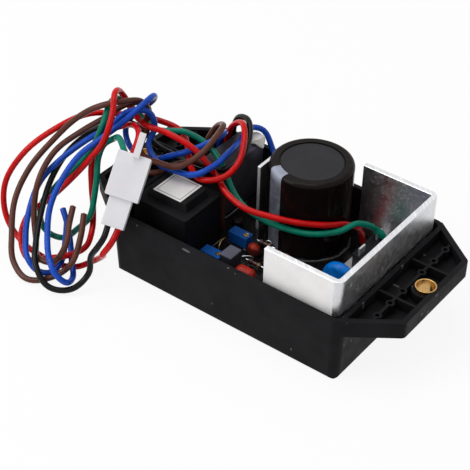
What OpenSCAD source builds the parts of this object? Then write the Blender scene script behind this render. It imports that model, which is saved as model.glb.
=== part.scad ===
// Automatic voltage regulator for a generator: an open potted tray with two mounting ears,
// a folded heat sink, the parts that stand on its circuit board, and its wire harness.
// Sizes are in millimetres. X runs along the tray to the heat sink, Y to the back, Z up.

/* [Tray] */
// Length of the tray over its rim
tray_l = 114; // [108:1:130]
// Width of the tray over its rim
tray_w = 78; // [74:1:90]
// Height of the tray
tray_h = 31; // [28:0.5:34]
// Thickness of the tray walls at the rim
wall = 2; // [1.4:0.1:2.4]
// Thickness of the tray floor
floor_t = 2; // [1.4:0.1:3]
// Radius of the upright corners
tray_r = 4.5; // [3:0.5:7]
// How far each wall leans in from rim to foot
draft = 1.1; // [0.4:0.1:1.4]
// Radius along the bottom edges
foot_r = 1.5; // [0.6:0.1:2]

/* [Ears] */
// Reach of an ear past the end wall
ear_l = 19; // [17:0.5:24]
// Width of an ear at its outer edge
ear_end_w = 47; // [40:1:56]
// Height of an ear
ear_t = 7.3; // [5:0.1:10]
// Thickness of the wall round an ear
ear_wall = 2.4; // [1.6:0.1:3]
// Thickness of the ear floor under its pockets
ear_floor = 2.2; // [1.4:0.1:3]
// Radius of the outer ear corners
ear_r = 2.5; // [1:0.5:4]
// Thickness of the ribs in the pockets
rib_t = 1.2; // [0.8:0.1:1.8]
// Depth of the rib tops under the rim
rib_drop = 0.7; // [0.3:0.1:1.5]
// Distance of the long rib from the end wall
rib_x = 7.5; // [5:0.5:9]
// Distance of each cross rib from the middle
rib_y = 12.1; // [10:0.1:14]
// Outer diameter of the small pegs on the long rib
peg_d = 3.5; // [2.6:0.1:4]
// Diameter of the blind hole in each peg
peg_hole = 1.9; // [1:0.1:2.2]
// Distance of the first pegs from the middle
peg_first = 7.1; // [5:0.1:9]
// Distance from peg to peg
peg_step = 9; // [6:0.5:10]

/* [Bushes] */
// Distance of a bush centre from the end wall
bush_out = 13.5; // [12:0.5:15]
// Outer diameter of a bush
bush_d = 8.6; // [7.5:0.1:10]
// Bore of a bush
bush_bore = 7.4; // [6:0.1:8]
// Height of a bush over the rim
bush_proud = 0.3; // [0:0.1:1]
// Radial clearance of a bush in its boss
bush_fit = 0.02; // [0.01:0.01:0.05]
// Thickness of the boss round a bush
boss_t = 1.4; // [0.8:0.1:2]
// Depth of the boss top under the rim
boss_drop = 1.2; // [0.5:0.1:3]

/* [Board and resin] */
// Height of the board's underside over the tray's foot
board_z = 6; // [5:0.5:8]
// Thickness of the board
board_t = 1.6; // [1:0.1:2]
// Gap between the board and the walls
board_gap = 2; // [1:0.5:4]
// Diameter of the posts under the board
post_d = 7; // [5:0.5:9]
// Distance of the posts from the board's edges
post_in = 7; // [6:0.5:12]
// Height of the resin surface over the tray's foot
resin_z = 12; // [10:0.5:15]
// Gap between the resin and what stands in it
resin_gap = 0.1; // [0.05:0.05:0.3]

/* [Heat sink] */
// Thickness of the folded sheet
sink_t = 2.5; // [1.5:0.1:3]
// Height of the top edge over the tray's foot
sink_top = 46.5; // [40:0.5:55]
// Length of the two side legs
sink_leg = 35; // [28:1:45]
// Outer radius of the bends
sink_r = 3.5; // [3.2:0.1:5]
// Gap between the sheet's foot and the tray walls
sink_gap = 0.3; // [0.2:0.05:0.6]
// Reach of the foot tab towards the middle of the tray
tab_l = 26; // [20:1:30]
// Width of the foot tab
tab_w = 26; // [20:1:30]
// Distance of the foot tab from the back leg
tab_in = 1.5; // [0.5:0.5:4]

/* [Rectifier] */
// Side of the square rectifier block
bridge_w = 19; // [15:0.5:20]
// Height of the rectifier block
bridge_h = 6.5; // [5:0.5:9]
// Width of each terminal blade
blade_w = 4; // [2:0.1:4.5]
// Thickness of each terminal blade
blade_t = 0.8; // [0.5:0.1:1]
// Height of each terminal blade
blade_h = 3.5; // [3:0.5:8]
// Distance of the blades from the block's middle
blade_out = 6.5; // [5:0.5:7]
// Diameter of the screw head in the block
bridge_head = 5.6; // [5:0.1:6]

/* [Main capacitor] */
// Diameter of the main capacitor
cap_d = 35; // [30:0.5:36]
// Height of its top over the tray's foot
cap_top = 50.3; // [45:0.5:60]
// Distance of its axis along the tray from the middle
cap_x = 3.7; // [0:0.1:5]
// Gap between the capacitor and the back wall at the board
cap_back = 0.4; // [0.3:0.1:2]
// Radius of the sleeve where it turns over the top
cap_edge = 1.8; // [1:0.1:3]
// Diameter of the end disc
disc_d = 27; // [22:0.5:29]
// Depth of the end disc under the turned sleeve
disc_drop = 0.35; // [0.2:0.05:0.6]
// Thickness of the end disc
disc_t = 0.6; // [0.4:0.1:1]

/* [Plate heat sink] */
// Thickness of the upright plate
plate_t = 1.7; // [1:0.1:2.5]
// Width of the upright plate
plate_w = 22; // [16:1:26]
// Height of its top over the tray's foot
plate_top = 44.7; // [38:0.5:50]
// Gap between the plate and the capacitor
plate_gap = 0.7; // [0.4:0.1:1.5]
// How far the plate stands in front of the capacitor's axis
plate_ahead = 10.5; // [8:0.5:14]
// Width of the transistor on the plate
chip_w = 10; // [9:0.5:11]
// Height of the transistor's black body
chip_h = 9; // [8:0.5:10]
// Thickness of the transistor's black body
chip_t = 4.5; // [3.5:0.1:5]
// Thickness of the transistor's metal tab
chip_tab = 1.3; // [1:0.1:1.5]
// Diameter of the screw head that holds the transistor
chip_head = 5.4; // [4.8:0.1:6]

/* [Front transformer] */
// Length of the case along the tray
trans_l = 27.2; // [24:0.1:29]
// Width of the case
trans_w = 24.1; // [22:0.1:27]
// Height of the case top over the tray's foot
trans_top = 35; // [32:0.5:38]
// Place of its right face along the tray
trans_x = -23.7; // [-26:0.1:-22]
// Gap between its front face and the front wall at the board
trans_front = 5.9; // [4:0.1:7]
// Radius of the upright case corners
trans_r = 0.8; // [0.4:0.1:2]
// How far the raised lid is set in at the ends
lid_in_x = 3.2; // [2:0.1:5]
// How far the raised lid is set in at the sides
lid_in_y = 4.5; // [3:0.1:6]
// Height of the raised lid
lid_h = 4; // [2:0.1:6]
// How far the lid sides lean in
lid_lean = 0.7; // [0.3:0.1:1.2]
// Side of the square label sheet
label_w = 14.2; // [10:0.1:14.5]
// Thickness of the label sheet
label_t = 0.15; // [0.1:0.05:0.3]

/* [Rear transformer] */
// Length of the rear case along the tray
rear_l = 13; // [10:0.5:15]
// Width of the rear case
rear_w = 27.2; // [24:0.1:28]
// Height of the rear case over the tray's foot
rear_top = 37; // [33:0.5:40]
// Place of its right face along the tray
rear_x = -31; // [-32:0.1:-29]
// Gap between the rear case and the back wall at the board
rear_back = 3; // [1.5:0.1:4]
// Side of the dab of white glue on its corner
glue_w = 6; // [4:0.5:7]
// Height of the dab of glue
glue_h = 3.6; // [2:0.1:5]

/* [Trimmers] */
// Length of a trimmer body
trim_l = 9.5; // [8:0.1:11]
// Width of a trimmer body
trim_w = 4.8; // [4:0.1:6]
// Height of a trimmer body over the board
trim_h = 10; // [9:0.5:12]
// Diameter of the adjusting screw
screw_d = 2.3; // [1.8:0.1:2.6]
// Height of the adjusting screw
screw_h = 1.9; // [1.5:0.1:2.5]
// How far the screw stands over the body
screw_proud = 0.4; // [0.2:0.1:0.6]
// Radial clearance of the screw in its hole
screw_fit = 0.05; // [0.02:0.01:0.1]
// Distance of the screw from the end of the body
screw_in = 1.9; // [1.6:0.1:2.5]
// Width of the screw slot
slot_w = 0.55; // [0.4:0.05:0.7]
// Depth of the screw slot
slot_h = 0.6; // [0.4:0.1:0.9]

/* [Small parts] */
// Length of the box film capacitor
film_l = 5.8; // [5:0.1:7]
// Width of the box film capacitor
film_w = 7.6; // [6:0.1:9]
// Height of the box film capacitor over the board
film_h = 13.9; // [10:0.1:15]
// Diameter of the small can capacitor
can_d = 5; // [4:0.1:6]
// Height of the small can capacitor over the board
can_h = 11; // [8:0.5:12]
// Diameter of the orange disc capacitor
disc_cap_d = 6.4; // [5:0.1:8]
// Thickness of the orange disc capacitor
disc_cap_t = 4; // [2:0.1:5]
// Length of the red dipped capacitor
red_l = 8.6; // [7:0.1:11]
// Thickness of the red dipped capacitor
red_w = 5.2; // [4:0.1:6]
// Height of the red dipped capacitor over the resin
red_h = 8; // [6:0.1:10]
// Diameter of the blue varistor
vari_d = 15.6; // [10:0.1:17]
// Thickness of the blue varistor
vari_t = 4.8; // [3:0.1:6]
// Diameter of the small ceramic disc
ceramic_d = 4.6; // [3:0.1:6]
// Thickness of the small ceramic disc
ceramic_t = 2.2; // [1.5:0.1:3]
// Diameter of the wire leads
lead_d = 0.8; // [0.5:0.1:1]
// Height of an axial part over the resin
stand = 0.8; // [0.4:0.1:2]
// Depth of a dipped disc in the resin, as a share of its diameter
sunk = 0.18; // [0.1:0.01:0.3]
// Length of a small resistor body
res_l = 6.2; // [5:0.1:7]
// Diameter of a small resistor body
res_d = 2.4; // [1.8:0.1:3]
// Distance between the two legs of a resistor
res_pitch = 9; // [8.6:0.1:12]

/* [Connector] */
// Width of the large nylon housing
shell_w = 13.8; // [12:0.1:17]
// Length of the large nylon housing
shell_l = 18.5; // [16:0.1:26]
// Thickness of the large nylon housing
shell_t = 9; // [7:0.1:12]
// Width of the small nylon housing
nose_w = 9.4; // [7:0.1:11]
// Length of the small nylon housing that shows
nose_l = 12; // [10:0.5:18]
// Thickness of the small nylon housing
nose_t = 6.6; // [5:0.1:7]
// Depth of the small housing in the large one
nose_in = 8; // [5:0.5:12]
// Clearance between the two housings
nose_fit = 0.1; // [0.05:0.05:0.2]
// Length of the latch arm past the housing
latch_l = 9; // [6:0.5:12]
// Width of the latch arm
latch_w = 2.6; // [2:0.1:4]
// Distance of the latch arm from the middle of the housing
latch_side = 0.7; // [0:0.1:4]
// Length of the latch arm that lies on the housing
latch_root = 1.2; // [0.6:0.1:6]
// Thickness of the latch arm
latch_t = 1.6; // [1:0.1:2.4]

/* [Wires] */
// Diameter of a wire over its insulation
wire_d = 2.6; // [2:0.1:3]
// Sides of a wire's tube
wire_sides = 8; // [8:1:12]

/* [Hidden] */
$fn = 48;
// Small overlap that keeps a cut clean, and a length longer than any cut
eps = 0.01;
far = 400;
// How far a corner post stands out of the two leaning walls before they trim it
post_proud = 0.03;
half_l = tray_l / 2;
half_w = tray_w / 2;
board_top = board_z + board_t;
// Inset of a leaning wall at a height, and the inner half sizes there
function inset(z) = draft * (tray_h - z) / tray_h;
function inner_x(z) = half_l - wall - inset(z);
function inner_y(z) = half_w - wall - inset(z);
bush_x = half_l + bush_out;
ear_x = half_l + ear_l;
ear_z = tray_h - ear_t;
sink_x = inner_x(board_top) - sink_gap;
sink_y = inner_y(board_top) - sink_gap;
tab_y = sink_y - sink_t - tab_in - tab_w / 2;
tab_mid = sink_x - sink_t - bridge_w / 2 - 1.5;
tab_top = resin_z + sink_t;
cap_y = inner_y(board_top) - cap_back - cap_d / 2;
cap_r = cap_d / 2;
plate_x = cap_x - cap_r - plate_gap - plate_t;
plate_y = cap_y - plate_ahead;
chip_y = plate_y + plate_w / 2;
chip_z = resin_z + 6;
front_y = -inner_y(board_top);
trans_y = front_y + trans_front;
rear_y = -front_y - rear_back - rear_w;
trim_top = board_top + trim_h;
// Places of the small parts on the board: two rows behind the front wall, and one before the capacitor
trim_2_at = [-16.8, front_y + 15.2];
film_at = [-8.1, front_y + 15.8];
red_at = [1.8, front_y + 12.6];
res_front_at = [-1, front_y + 23.2];
cap_front = cap_y - cap_r;
trim_1_at = [-15.3, cap_front - 4.6];
can_at = [-21.2, cap_front + 1.2];
orange_at = [-6.6, cap_front - 7];
res_side_at = [-5, cap_front - 0.6];
ceramic_at = [7, cap_front - 2.4];
diode_at = [19.4, cap_front - 2.8];
vari_at = [33.4, tab_y - bridge_w / 2 - 12];
// Pose of the connector: its front end, and its tilt
plug_at = [-47, -48, 32];
plug_turn = [50, 13, 26];
// Routes of the wires, from the board or rectifier to the connector or the bare end
route_red_1 = [
    [-48, 29, 11], [-48, 29, 22], [-47, 28, 34], [-41, 24, 46], [-33, 20, 52], [-27, 13, 50],
    [-23, 3, 45], [-24, -6, 43], [-32, -10, 41], [-40, -6, 41], [-47, 1, 43], [-57, 8, 45],
    [-68, 7, 46], [-78, -3, 50], [-88, -14, 52], [-98, -26, 46], [-106, -38, 36], [-110, -46, 22],
    [-106, -50, 10], [-96, -52, 3], [-84, -54, 3], [-74, -53, 2], [-66, -50, 3], [-60, -47, 7],
    [-53, -48, 14], [-48, -53, 21], [-45, -51, 27], [-45, -46, 32]
];
route_red_2 = [
    [25, 28, 11], [25, 27, 17], [25, 24, 22], [25, 20, 26], [23, 15, 29], [20, 7, 32],
    [13, 1, 33], [0, -5, 34], [-10, -8, 35], [-20, -7, 37], [-30, -3, 41], [-40, -3, 48],
    [-54, -5, 52], [-64, -7, 53], [-72, -5, 55], [-76, -6, 62], [-74, -13, 68], [-69, -21, 63],
    [-69, -27, 53], [-75, -29, 43], [-82, -34, 32], [-91, -40, 20], [-97, -46, 13], [-95, -53, 7],
    [-87, -58, 2], [-76, -57, 7], [-68, -53, 10], [-65, -46, 11], [-68, -38, 13], [-73, -31, 19],
    [-77, -27, 27], [-79, -24, 36], [-78, -21, 43], [-76, -16, 49], [-70, -13, 53], [-62, -15, 57],
    [-56, -20, 58], [-53, -28, 53]
];
route_green = [
    [34, 26, 23], [32, 23, 27], [28, 18, 30], [24, 10, 29], [17, 2, 29], [7, -2, 29],
    [-4, -4, 30], [-14, -4, 32], [-23, 0, 34], [-31, 4, 40], [-40, 7, 44], [-51, 5, 48],
    [-63, -1, 48], [-73, -1, 52], [-78, -4, 58], [-78, -11, 61], [-75, -20, 56], [-78, -25, 44],
    [-84, -30, 34], [-91, -35, 24], [-95, -40, 15], [-91, -43, 7], [-82, -41, 5], [-76, -38, 11],
    [-70, -36, 20], [-71, -32, 27], [-72, -29, 34], [-74, -25, 42], [-73, -23, 47], [-68, -22, 52],
    [-61, -26, 57], [-54, -31, 56]
];
route_blue_1 = [
    [-48, 24, 11], [-48, 24, 22], [-48, 24, 34], [-43, 21, 43], [-39, 14, 47], [-40, 6, 47],
    [-43, -1, 46], [-51, -6, 42], [-62, -6, 36], [-73, -6, 37], [-79, -1, 44], [-75, 5, 50],
    [-69, 5, 57], [-65, 0, 63], [-64, -8, 63], [-67, -17, 58], [-73, -25, 51], [-79, -31, 44],
    [-82, -39, 35], [-81, -48, 27], [-75, -57, 20], [-69, -63, 15], [-63, -66, 11], [-60, -63, 6],
    [-62, -57, 4], [-67, -52, 6], [-72, -47, 11], [-77, -43, 16], [-82, -40, 20]
];
route_blue_2 = [
    [-23, 32, 11], [-22, 32, 20], [-24, 33, 28], [-28, 35, 34], [-33, 35, 41], [-36, 29, 44],
    [-34, 20, 43], [-31, 8, 45], [-30, -4, 45], [-33, -12, 44], [-43, -13, 42], [-55, -11, 41],
    [-61, -8, 45], [-61, -4, 51], [-63, -4, 57], [-68, -11, 60], [-74, -18, 53], [-83, -22, 45],
    [-90, -31, 37], [-95, -39, 28], [-94, -48, 18], [-88, -57, 12], [-81, -63, 7], [-75, -63, 4],
    [-71, -60, 4], [-71, -54, 6], [-75, -47, 10], [-81, -39, 14]
];
route_brown_1 = [
    [-51, 18, 11], [-51, 18, 22], [-50, 17, 33], [-47, 14, 41], [-44, 16, 48], [-38, 13, 53],
    [-35, 4, 53], [-35, -7, 50], [-40, -14, 46], [-50, -15, 44], [-61, -13, 43], [-67, -6, 48],
    [-66, -2, 55], [-67, -4, 61], [-71, -12, 64], [-78, -18, 62], [-88, -22, 54], [-96, -29, 43],
    [-101, -39, 32], [-100, -50, 22], [-94, -59, 13], [-87, -66, 5], [-78, -68, 2], [-69, -63, 4],
    [-63, -57, 10], [-64, -49, 19], [-68, -42, 25]
];
route_brown_2 = [
    [-28, 0, 11], [-28, 0, 22], [-29, 1, 31], [-34, 3, 38], [-42, 1, 39], [-48, -6, 39],
    [-54, -13, 36], [-61, -14, 36], [-67, -6, 41], [-69, 2, 47], [-70, 2, 55], [-72, -7, 60],
    [-79, -15, 54], [-87, -21, 47], [-93, -31, 40], [-93, -42, 31], [-91, -48, 20], [-85, -54, 11],
    [-77, -61, 9], [-70, -60, 10], [-67, -55, 17], [-71, -48, 22], [-74, -42, 26]
];
route_black = [
    [-48, 34, 11], [-48, 34, 22], [-47, 33, 32], [-45, 30, 40], [-41, 28, 48], [-34, 25, 51],
    [-28, 18, 48], [-26, 10, 45], [-26, 4, 43], [-31, 0, 40], [-42, 0, 36], [-54, 0, 38],
    [-64, 0, 39], [-72, 1, 43], [-78, -4, 47], [-84, -14, 46], [-90, -25, 39], [-92, -35, 29],
    [-87, -48, 20], [-81, -58, 14], [-75, -65, 9], [-66, -67, 3], [-58, -62, 3], [-55, -55, 8],
    [-54, -54, 17], [-50, -54, 24], [-48, -52, 29], [-49, -48, 33]
];

module rounded_square(l, w, r) {
    square([l - 2 * r, w], center = true);
    square([l, w - 2 * r], center = true);
    for (sx = [-1, 1]) for (sy = [-1, 1])
        translate([sx * (l / 2 - r), sy * (w / 2 - r)]) circle(r);
}

module rounded_block(l, w, h, r) {
    linear_extrude(h) rounded_square(l, w, r);
}

// Outline of a wall pair that leans in towards the foot, with rounded bottom edges
module leaning_outline(w, h, lean, r) {
    low = w / 2 - lean;
    right = [for (a = [-90:15:0]) [low - r + r * cos(a), r + r * sin(a)]];
    left = [for (a = [180:15:270]) [r - low + r * cos(a), r + r * sin(a)]];
    polygon(concat(right, [[w / 2, h], [-w / 2, h]], left));
}

// Block whose walls lean in towards the foot, with a leaning round post in each upright corner
module leaning_block(l, w, h, r, lean, edge) {
    post_in = r - post_proud;
    tilt = atan2(lean * sqrt(2), h);
    intersection() {
        union() {
            rotate([90, 0, 90]) translate([0, 0, -l / 2]) linear_extrude(l)
                leaning_outline(w - 2 * post_in, h, lean, eps);
            rotate([90, 0, 0]) translate([0, 0, -w / 2]) linear_extrude(w)
                leaning_outline(l - 2 * post_in, h, lean, eps);
            for (sx = [-1, 1]) for (sy = [-1, 1])
                translate([sx * (l / 2 - lean - post_in), sy * (w / 2 - lean - post_in), 0])
                    rotate([0, tilt, atan2(sy, sx)]) translate([0, 0, -h]) cylinder(r = r, h = 3 * h);
        }
        rotate([90, 0, 90]) translate([0, 0, -l]) linear_extrude(2 * l) leaning_outline(w, h, lean, edge);
        rotate([90, 0, 0]) translate([0, 0, -w]) linear_extrude(2 * w) leaning_outline(l, h, lean, edge);
    }
}

// Inside of the tray, made smaller all round by a gap, from the floor up to a height
module cavity(gap, top) {
    intersection() {
        leaning_block(tray_l - 2 * (wall + gap), tray_w - 2 * (wall + gap), tray_h, tray_r - wall,
            draft, eps);
        translate([-tray_l, -tray_w, floor_t]) cube([2 * tray_l, 2 * tray_w, top - floor_t]);
    }
}

// Plan of one ear, drawn on the positive X side and made smaller by a margin
module ear_plan(margin, r) {
    root = half_l - tray_r / 2;
    slope = atan2(half_w - ear_end_w / 2, ear_x - root);
    cut = margin / cos(slope);
    turn = 90 - slope;
    x = ear_x - margin;
    y = ear_end_w / 2 - cut + margin * tan(slope);
    mid = [x - r, y - r * tan(turn / 2)];
    arc = [for (i = [0:6]) mid + r * [cos(turn * i / 6), sin(turn * i / 6)]];
    low = [for (i = [6:-1:0]) [arc[i][0], -arc[i][1]]];
    polygon(concat([[root, half_w - cut], [root, cut - half_w]], low, arc));
}

module ear_body() {
    translate([0, 0, ear_z]) linear_extrude(ear_t) ear_plan(0, ear_r);
}

module ear_pocket() {
    translate([0, 0, ear_z + ear_floor]) linear_extrude(ear_t) intersection() {
        ear_plan(ear_wall, 0.5);
        translate([half_l, -tray_w]) square([ear_l, 2 * tray_w]);
    }
}

// Ribs, pegs and the bush boss that stand in an ear's pocket
module ear_ribs() {
    rib_z = ear_z + ear_floor - eps;
    rib_h = ear_t - ear_floor - rib_drop;
    pegs = [for (i = [0:2]) for (s = [-1, 1]) s * (peg_first + i * peg_step)];
    difference() {
        union() {
            intersection() {
                translate([0, 0, rib_z]) linear_extrude(rib_h) ear_plan(ear_wall / 2, 0.5);
                union() {
                    translate([half_l + rib_x - rib_t / 2, -tray_w, rib_z]) cube([rib_t, 2 * tray_w, rib_h]);
                    for (s = [-1, 1])
                        translate([half_l - eps, s * rib_y - rib_t / 2, rib_z]) cube([ear_l, rib_t, rib_h]);
                }
            }
            for (y = pegs)
                translate([half_l + rib_x, y, rib_z]) cylinder(d = peg_d, h = rib_h);
            intersection() {
                translate([bush_x, 0, rib_z])
                    cylinder(d = bush_d + 2 * boss_t, h = ear_t - ear_floor - boss_drop);
                translate([0, 0, ear_z]) linear_extrude(ear_t) ear_plan(ear_wall / 2, 0.5);
            }
        }
        for (y = pegs)
            translate([half_l + rib_x, y, rib_z + eps]) cylinder(d = peg_hole, h = ear_t);
    }
}

module ear() {
    difference() {
        union() {
            difference() {
                ear_body();
                ear_pocket();
            }
            ear_ribs();
        }
        translate([bush_x, 0, 0]) cylinder(d = bush_d + 2 * bush_fit, h = far);
    }
}

module tray() {
    color([0.08, 0.08, 0.085]) {
        difference() {
            union() {
                leaning_block(tray_l, tray_w, tray_h, tray_r, draft, foot_r);
                ear();
                mirror([1, 0, 0]) ear();
            }
            cavity(0, far);
        }
        board_posts();
    }
}

module board_posts() {
    px = inner_x(board_top) - board_gap - post_in;
    py = inner_y(board_top) - board_gap - post_in;
    for (sx = [-1, 1]) for (sy = [-1, 1])
        translate([sx * px, sy * py, floor_t - eps]) cylinder(d = post_d, h = board_z - floor_t + eps);
}

module circuit_board() {
    l = 2 * (inner_x(board_z) - board_gap);
    w = 2 * (inner_y(board_z) - board_gap);
    color([0.05, 0.2, 0.12]) translate([-l / 2, -w / 2, board_z]) cube([l, w, board_t]);
}

// Where the folded sheet passes, grown by a gap
module sink_feet(gap, h) {
    translate([0, 0, -eps]) linear_extrude(h + 2 * eps) sink_outline(gap);
}

// Room that the parts standing on the board take out of the resin
module resin_rooms() {
    h = far;
    z = board_z - eps;
    g = resin_gap;
    translate([0, 0, board_top]) sink_feet(g, h);
    translate([cap_x, cap_y, z]) cylinder(r = cap_r + g, h = h);
    translate([plate_x - g, plate_y - g, z]) cube([plate_t + 2 * g, plate_w + 2 * g, h]);
    translate([trans_x - trans_l - g, trans_y - g, z]) cube([trans_l + 2 * g, trans_w + 2 * g, h]);
    translate([rear_x - rear_l - g, rear_y - g, z]) cube([rear_l + 2 * g, rear_w + 2 * g, h]);
    for (at = [trim_1_at, trim_2_at])
        translate([at[0] - trim_l / 2 - g, at[1] - trim_w / 2 - g, z])
            cube([trim_l + 2 * g, trim_w + 2 * g, h]);
    translate([film_at[0] - film_l / 2 - g, film_at[1] - film_w / 2 - g, z])
        cube([film_l + 2 * g, film_w + 2 * g, h]);
    translate([can_at[0], can_at[1], z]) cylinder(d = can_d + 2 * g, h = h);
}

module resin() {
    l = 2 * (inner_x(board_z) - board_gap + resin_gap);
    w = 2 * (inner_y(board_z) - board_gap + resin_gap);
    px = inner_x(board_top) - board_gap - post_in;
    py = inner_y(board_top) - board_gap - post_in;
    color([0.04, 0.04, 0.045])
        difference() {
            cavity(resin_gap, resin_z);
            translate([-l / 2, -w / 2, board_z - resin_gap]) cube([l, w, board_t + resin_gap + eps]);
            for (sx = [-1, 1]) for (sy = [-1, 1])
                translate([sx * px, sy * py, 0]) cylinder(d = post_d + 2 * resin_gap, h = board_z);
            resin_rooms();
        }
}

module bush() {
    difference() {
        cylinder(d = bush_d, h = ear_t + bush_proud);
        translate([0, 0, -1]) cylinder(d = bush_bore, h = ear_t + bush_proud + 2);
    }
}

module bush_left() {
    color([0.72, 0.53, 0.2]) translate([-bush_x, 0, ear_z]) bush();
}

module bush_right() {
    color([0.72, 0.53, 0.2]) translate([bush_x, 0, ear_z]) bush();
}

// Plan of a U with two round corners at its right end
module u_plan(x0, x1, y, r) {
    translate([x0, -y]) square([x1 - x0 - r, 2 * y]);
    translate([x0, r - y]) square([x1 - x0, 2 * (y - r)]);
    for (s = [-1, 1]) translate([x1 - r, s * (y - r)]) circle(r);
}

// Plan of the folded sheet, grown on both faces by a gap
module sink_outline(gap) {
    x0 = sink_x - sink_leg - gap;
    difference() {
        u_plan(x0, sink_x + gap, sink_y + gap, sink_r + gap);
        u_plan(x0 - 1, sink_x - sink_t - gap, sink_y - sink_t - gap, sink_r - sink_t - gap);
    }
}

module heat_sink() {
    color([0.8, 0.81, 0.83]) {
        translate([0, 0, board_top]) linear_extrude(sink_top - board_top) sink_outline(0);
        translate([sink_x - tab_l, tab_y - tab_w / 2, resin_z]) cube([tab_l - sink_t / 2, tab_w, sink_t]);
    }
}

module rectifier() {
    color([0.1, 0.1, 0.11])
        translate([tab_mid, tab_y, tab_top]) difference() {
            rounded_block(bridge_w, bridge_w, bridge_h, 1.5);
            translate([0, 0, bridge_h - 2]) cylinder(d = bridge_head + 0.6, h = 3);
        }
    color([0.75, 0.75, 0.77])
        for (s = [-1, 1]) for (t = [-1, 1])
            translate([tab_mid + s * blade_out, tab_y + t * blade_out, tab_top + bridge_h - eps])
                translate([-blade_t / 2, -blade_w / 2, 0]) cube([blade_t, blade_w, blade_h]);
}

module rectifier_screw() {
    color([0.7, 0.7, 0.72])
        translate([tab_mid, tab_y, tab_top + bridge_h - 2]) cross_head(bridge_head, 2.4);
}

// Round screw head with a cross recess
module cross_head(d, h) {
    difference() {
        cylinder(d = d, h = h);
        for (a = [0, 90]) rotate([0, 0, a])
            translate([-d / 3, -d / 14, h * 0.5]) cube([2 * d / 3, d / 7, h]);
    }
}

module main_capacitor() {
    h = cap_top - board_top;
    edge = [for (a = [0:10:90]) [cap_r - cap_edge + cap_edge * cos(a), h - cap_edge + cap_edge * sin(a)]];
    inner = disc_d / 2;
    color([0.07, 0.065, 0.07])
        translate([cap_x, cap_y, board_top]) rotate_extrude()
            polygon(concat([[0, 0], [cap_r, 0]], edge,
                [[inner, h], [inner, h - disc_drop - disc_t], [0, h - disc_drop - disc_t]]));
}

module capacitor_end_disc() {
    color([0.2, 0.2, 0.21])
        translate([cap_x, cap_y, cap_top - disc_drop - disc_t]) cylinder(d = disc_d - 0.2, h = disc_t);
}

module plate_sink() {
    color([0.8, 0.81, 0.83])
        translate([plate_x, plate_y, board_top]) cube([plate_t, plate_w, plate_top - board_top]);
}

module transistor() {
    tab_h = 15.5;
    translate([plate_x, chip_y, chip_z]) {
        color([0.75, 0.75, 0.77]) difference() {
            translate([-chip_tab, -chip_w / 2, 0]) cube([chip_tab, chip_w, tab_h]);
            translate([-chip_tab - 1, 0, tab_h - 3]) rotate([0, 90, 0]) cylinder(d = 3.6, h = chip_tab + 2);
        }
        color([0.1, 0.1, 0.11])
            translate([-chip_t, -chip_w / 2, 0]) cube([chip_t - chip_tab + eps, chip_w, chip_h]);
        color([0.75, 0.75, 0.77])
            for (i = [-1, 0, 1])
                translate([-chip_t / 2 - lead_d / 2, i * 2.54 - lead_d / 2, resin_z - chip_z])
                    cube([lead_d, lead_d, chip_z - resin_z + eps]);
    }
}

module transistor_screw() {
    color([0.7, 0.7, 0.72])
        translate([plate_x - chip_tab, chip_y, chip_z + 12.5]) rotate([0, -90, 0]) cross_head(chip_head, 2);
}

module front_transformer() {
    lid_l = trans_l - 2 * lid_in_x;
    lid_w = trans_w - 2 * lid_in_y;
    color([0.06, 0.06, 0.065])
        translate([trans_x - trans_l / 2, trans_y + trans_w / 2, board_top]) {
            rounded_block(trans_l, trans_w, trans_top - board_top, trans_r);
            translate([0, 0, trans_top - board_top + lid_h]) mirror([0, 0, 1])
                leaning_block(lid_l, lid_w, lid_h + eps, trans_r, lid_lean, 0.5);
        }
}

module transformer_label() {
    color([0.93, 0.93, 0.92])
        translate([trans_x - (trans_l + label_w) / 2, trans_y + (trans_w - label_w) / 2, trans_top + lid_h])
            cube([label_w, label_w, label_t]);
}

module rear_transformer() {
    color([0.06, 0.06, 0.065])
        translate([rear_x - rear_l / 2, rear_y + rear_w / 2, board_top])
            rounded_block(rear_l, rear_w, rear_top - board_top, trans_r);
}

module glue_dab() {
    color([0.9, 0.89, 0.86])
        translate([rear_x - glue_w / 2 - 0.8, rear_y + rear_w - glue_w / 2 - 0.8, rear_top])
            mirror([0, 0, 1]) translate([0, 0, -glue_h])
                leaning_block(glue_w, glue_w, glue_h, 1.2, 1.2, 0.8);
}

module trimmer(at) {
    translate([at[0], at[1], board_top]) difference() {
        rounded_block(trim_l, trim_w, trim_h, 0.4);
        translate([trim_l / 2 - screw_in, 0, trim_h - screw_h + screw_proud])
            cylinder(d = screw_d + 2 * screw_fit, h = far);
    }
}

module trimmer_screw(at) {
    translate([at[0] + trim_l / 2 - screw_in, at[1], trim_top + screw_proud - screw_h]) difference() {
        cylinder(d = screw_d, h = screw_h);
        translate([-screw_d, -slot_w / 2, screw_h - slot_h]) cube([2 * screw_d, slot_w, slot_h + 1]);
    }
}

module trimmer_1() {
    color([0.08, 0.3, 0.6]) trimmer(trim_1_at);
}

module trimmer_1_screw() {
    color([0.8, 0.65, 0.3]) trimmer_screw(trim_1_at);
}

module trimmer_2() {
    color([0.08, 0.3, 0.6]) trimmer(trim_2_at);
}

module trimmer_2_screw() {
    color([0.8, 0.65, 0.3]) trimmer_screw(trim_2_at);
}

module film_capacitor() {
    color([0.5, 0.52, 0.55])
        translate([film_at[0], film_at[1], board_top]) rounded_block(film_l, film_w, film_h, 0.5);
}

module small_can_capacitor() {
    color([0.1, 0.1, 0.12])
        translate([can_at[0], can_at[1], board_top]) rotate_extrude()
            polygon([[0, 0], [can_d / 2, 0], [can_d / 2, can_h - 0.5], [can_d / 2 - 0.5, can_h],
                [can_d / 2 - 0.9, can_h], [can_d / 2 - 0.9, can_h - 0.3], [0, can_h - 0.3]]);
}

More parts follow.
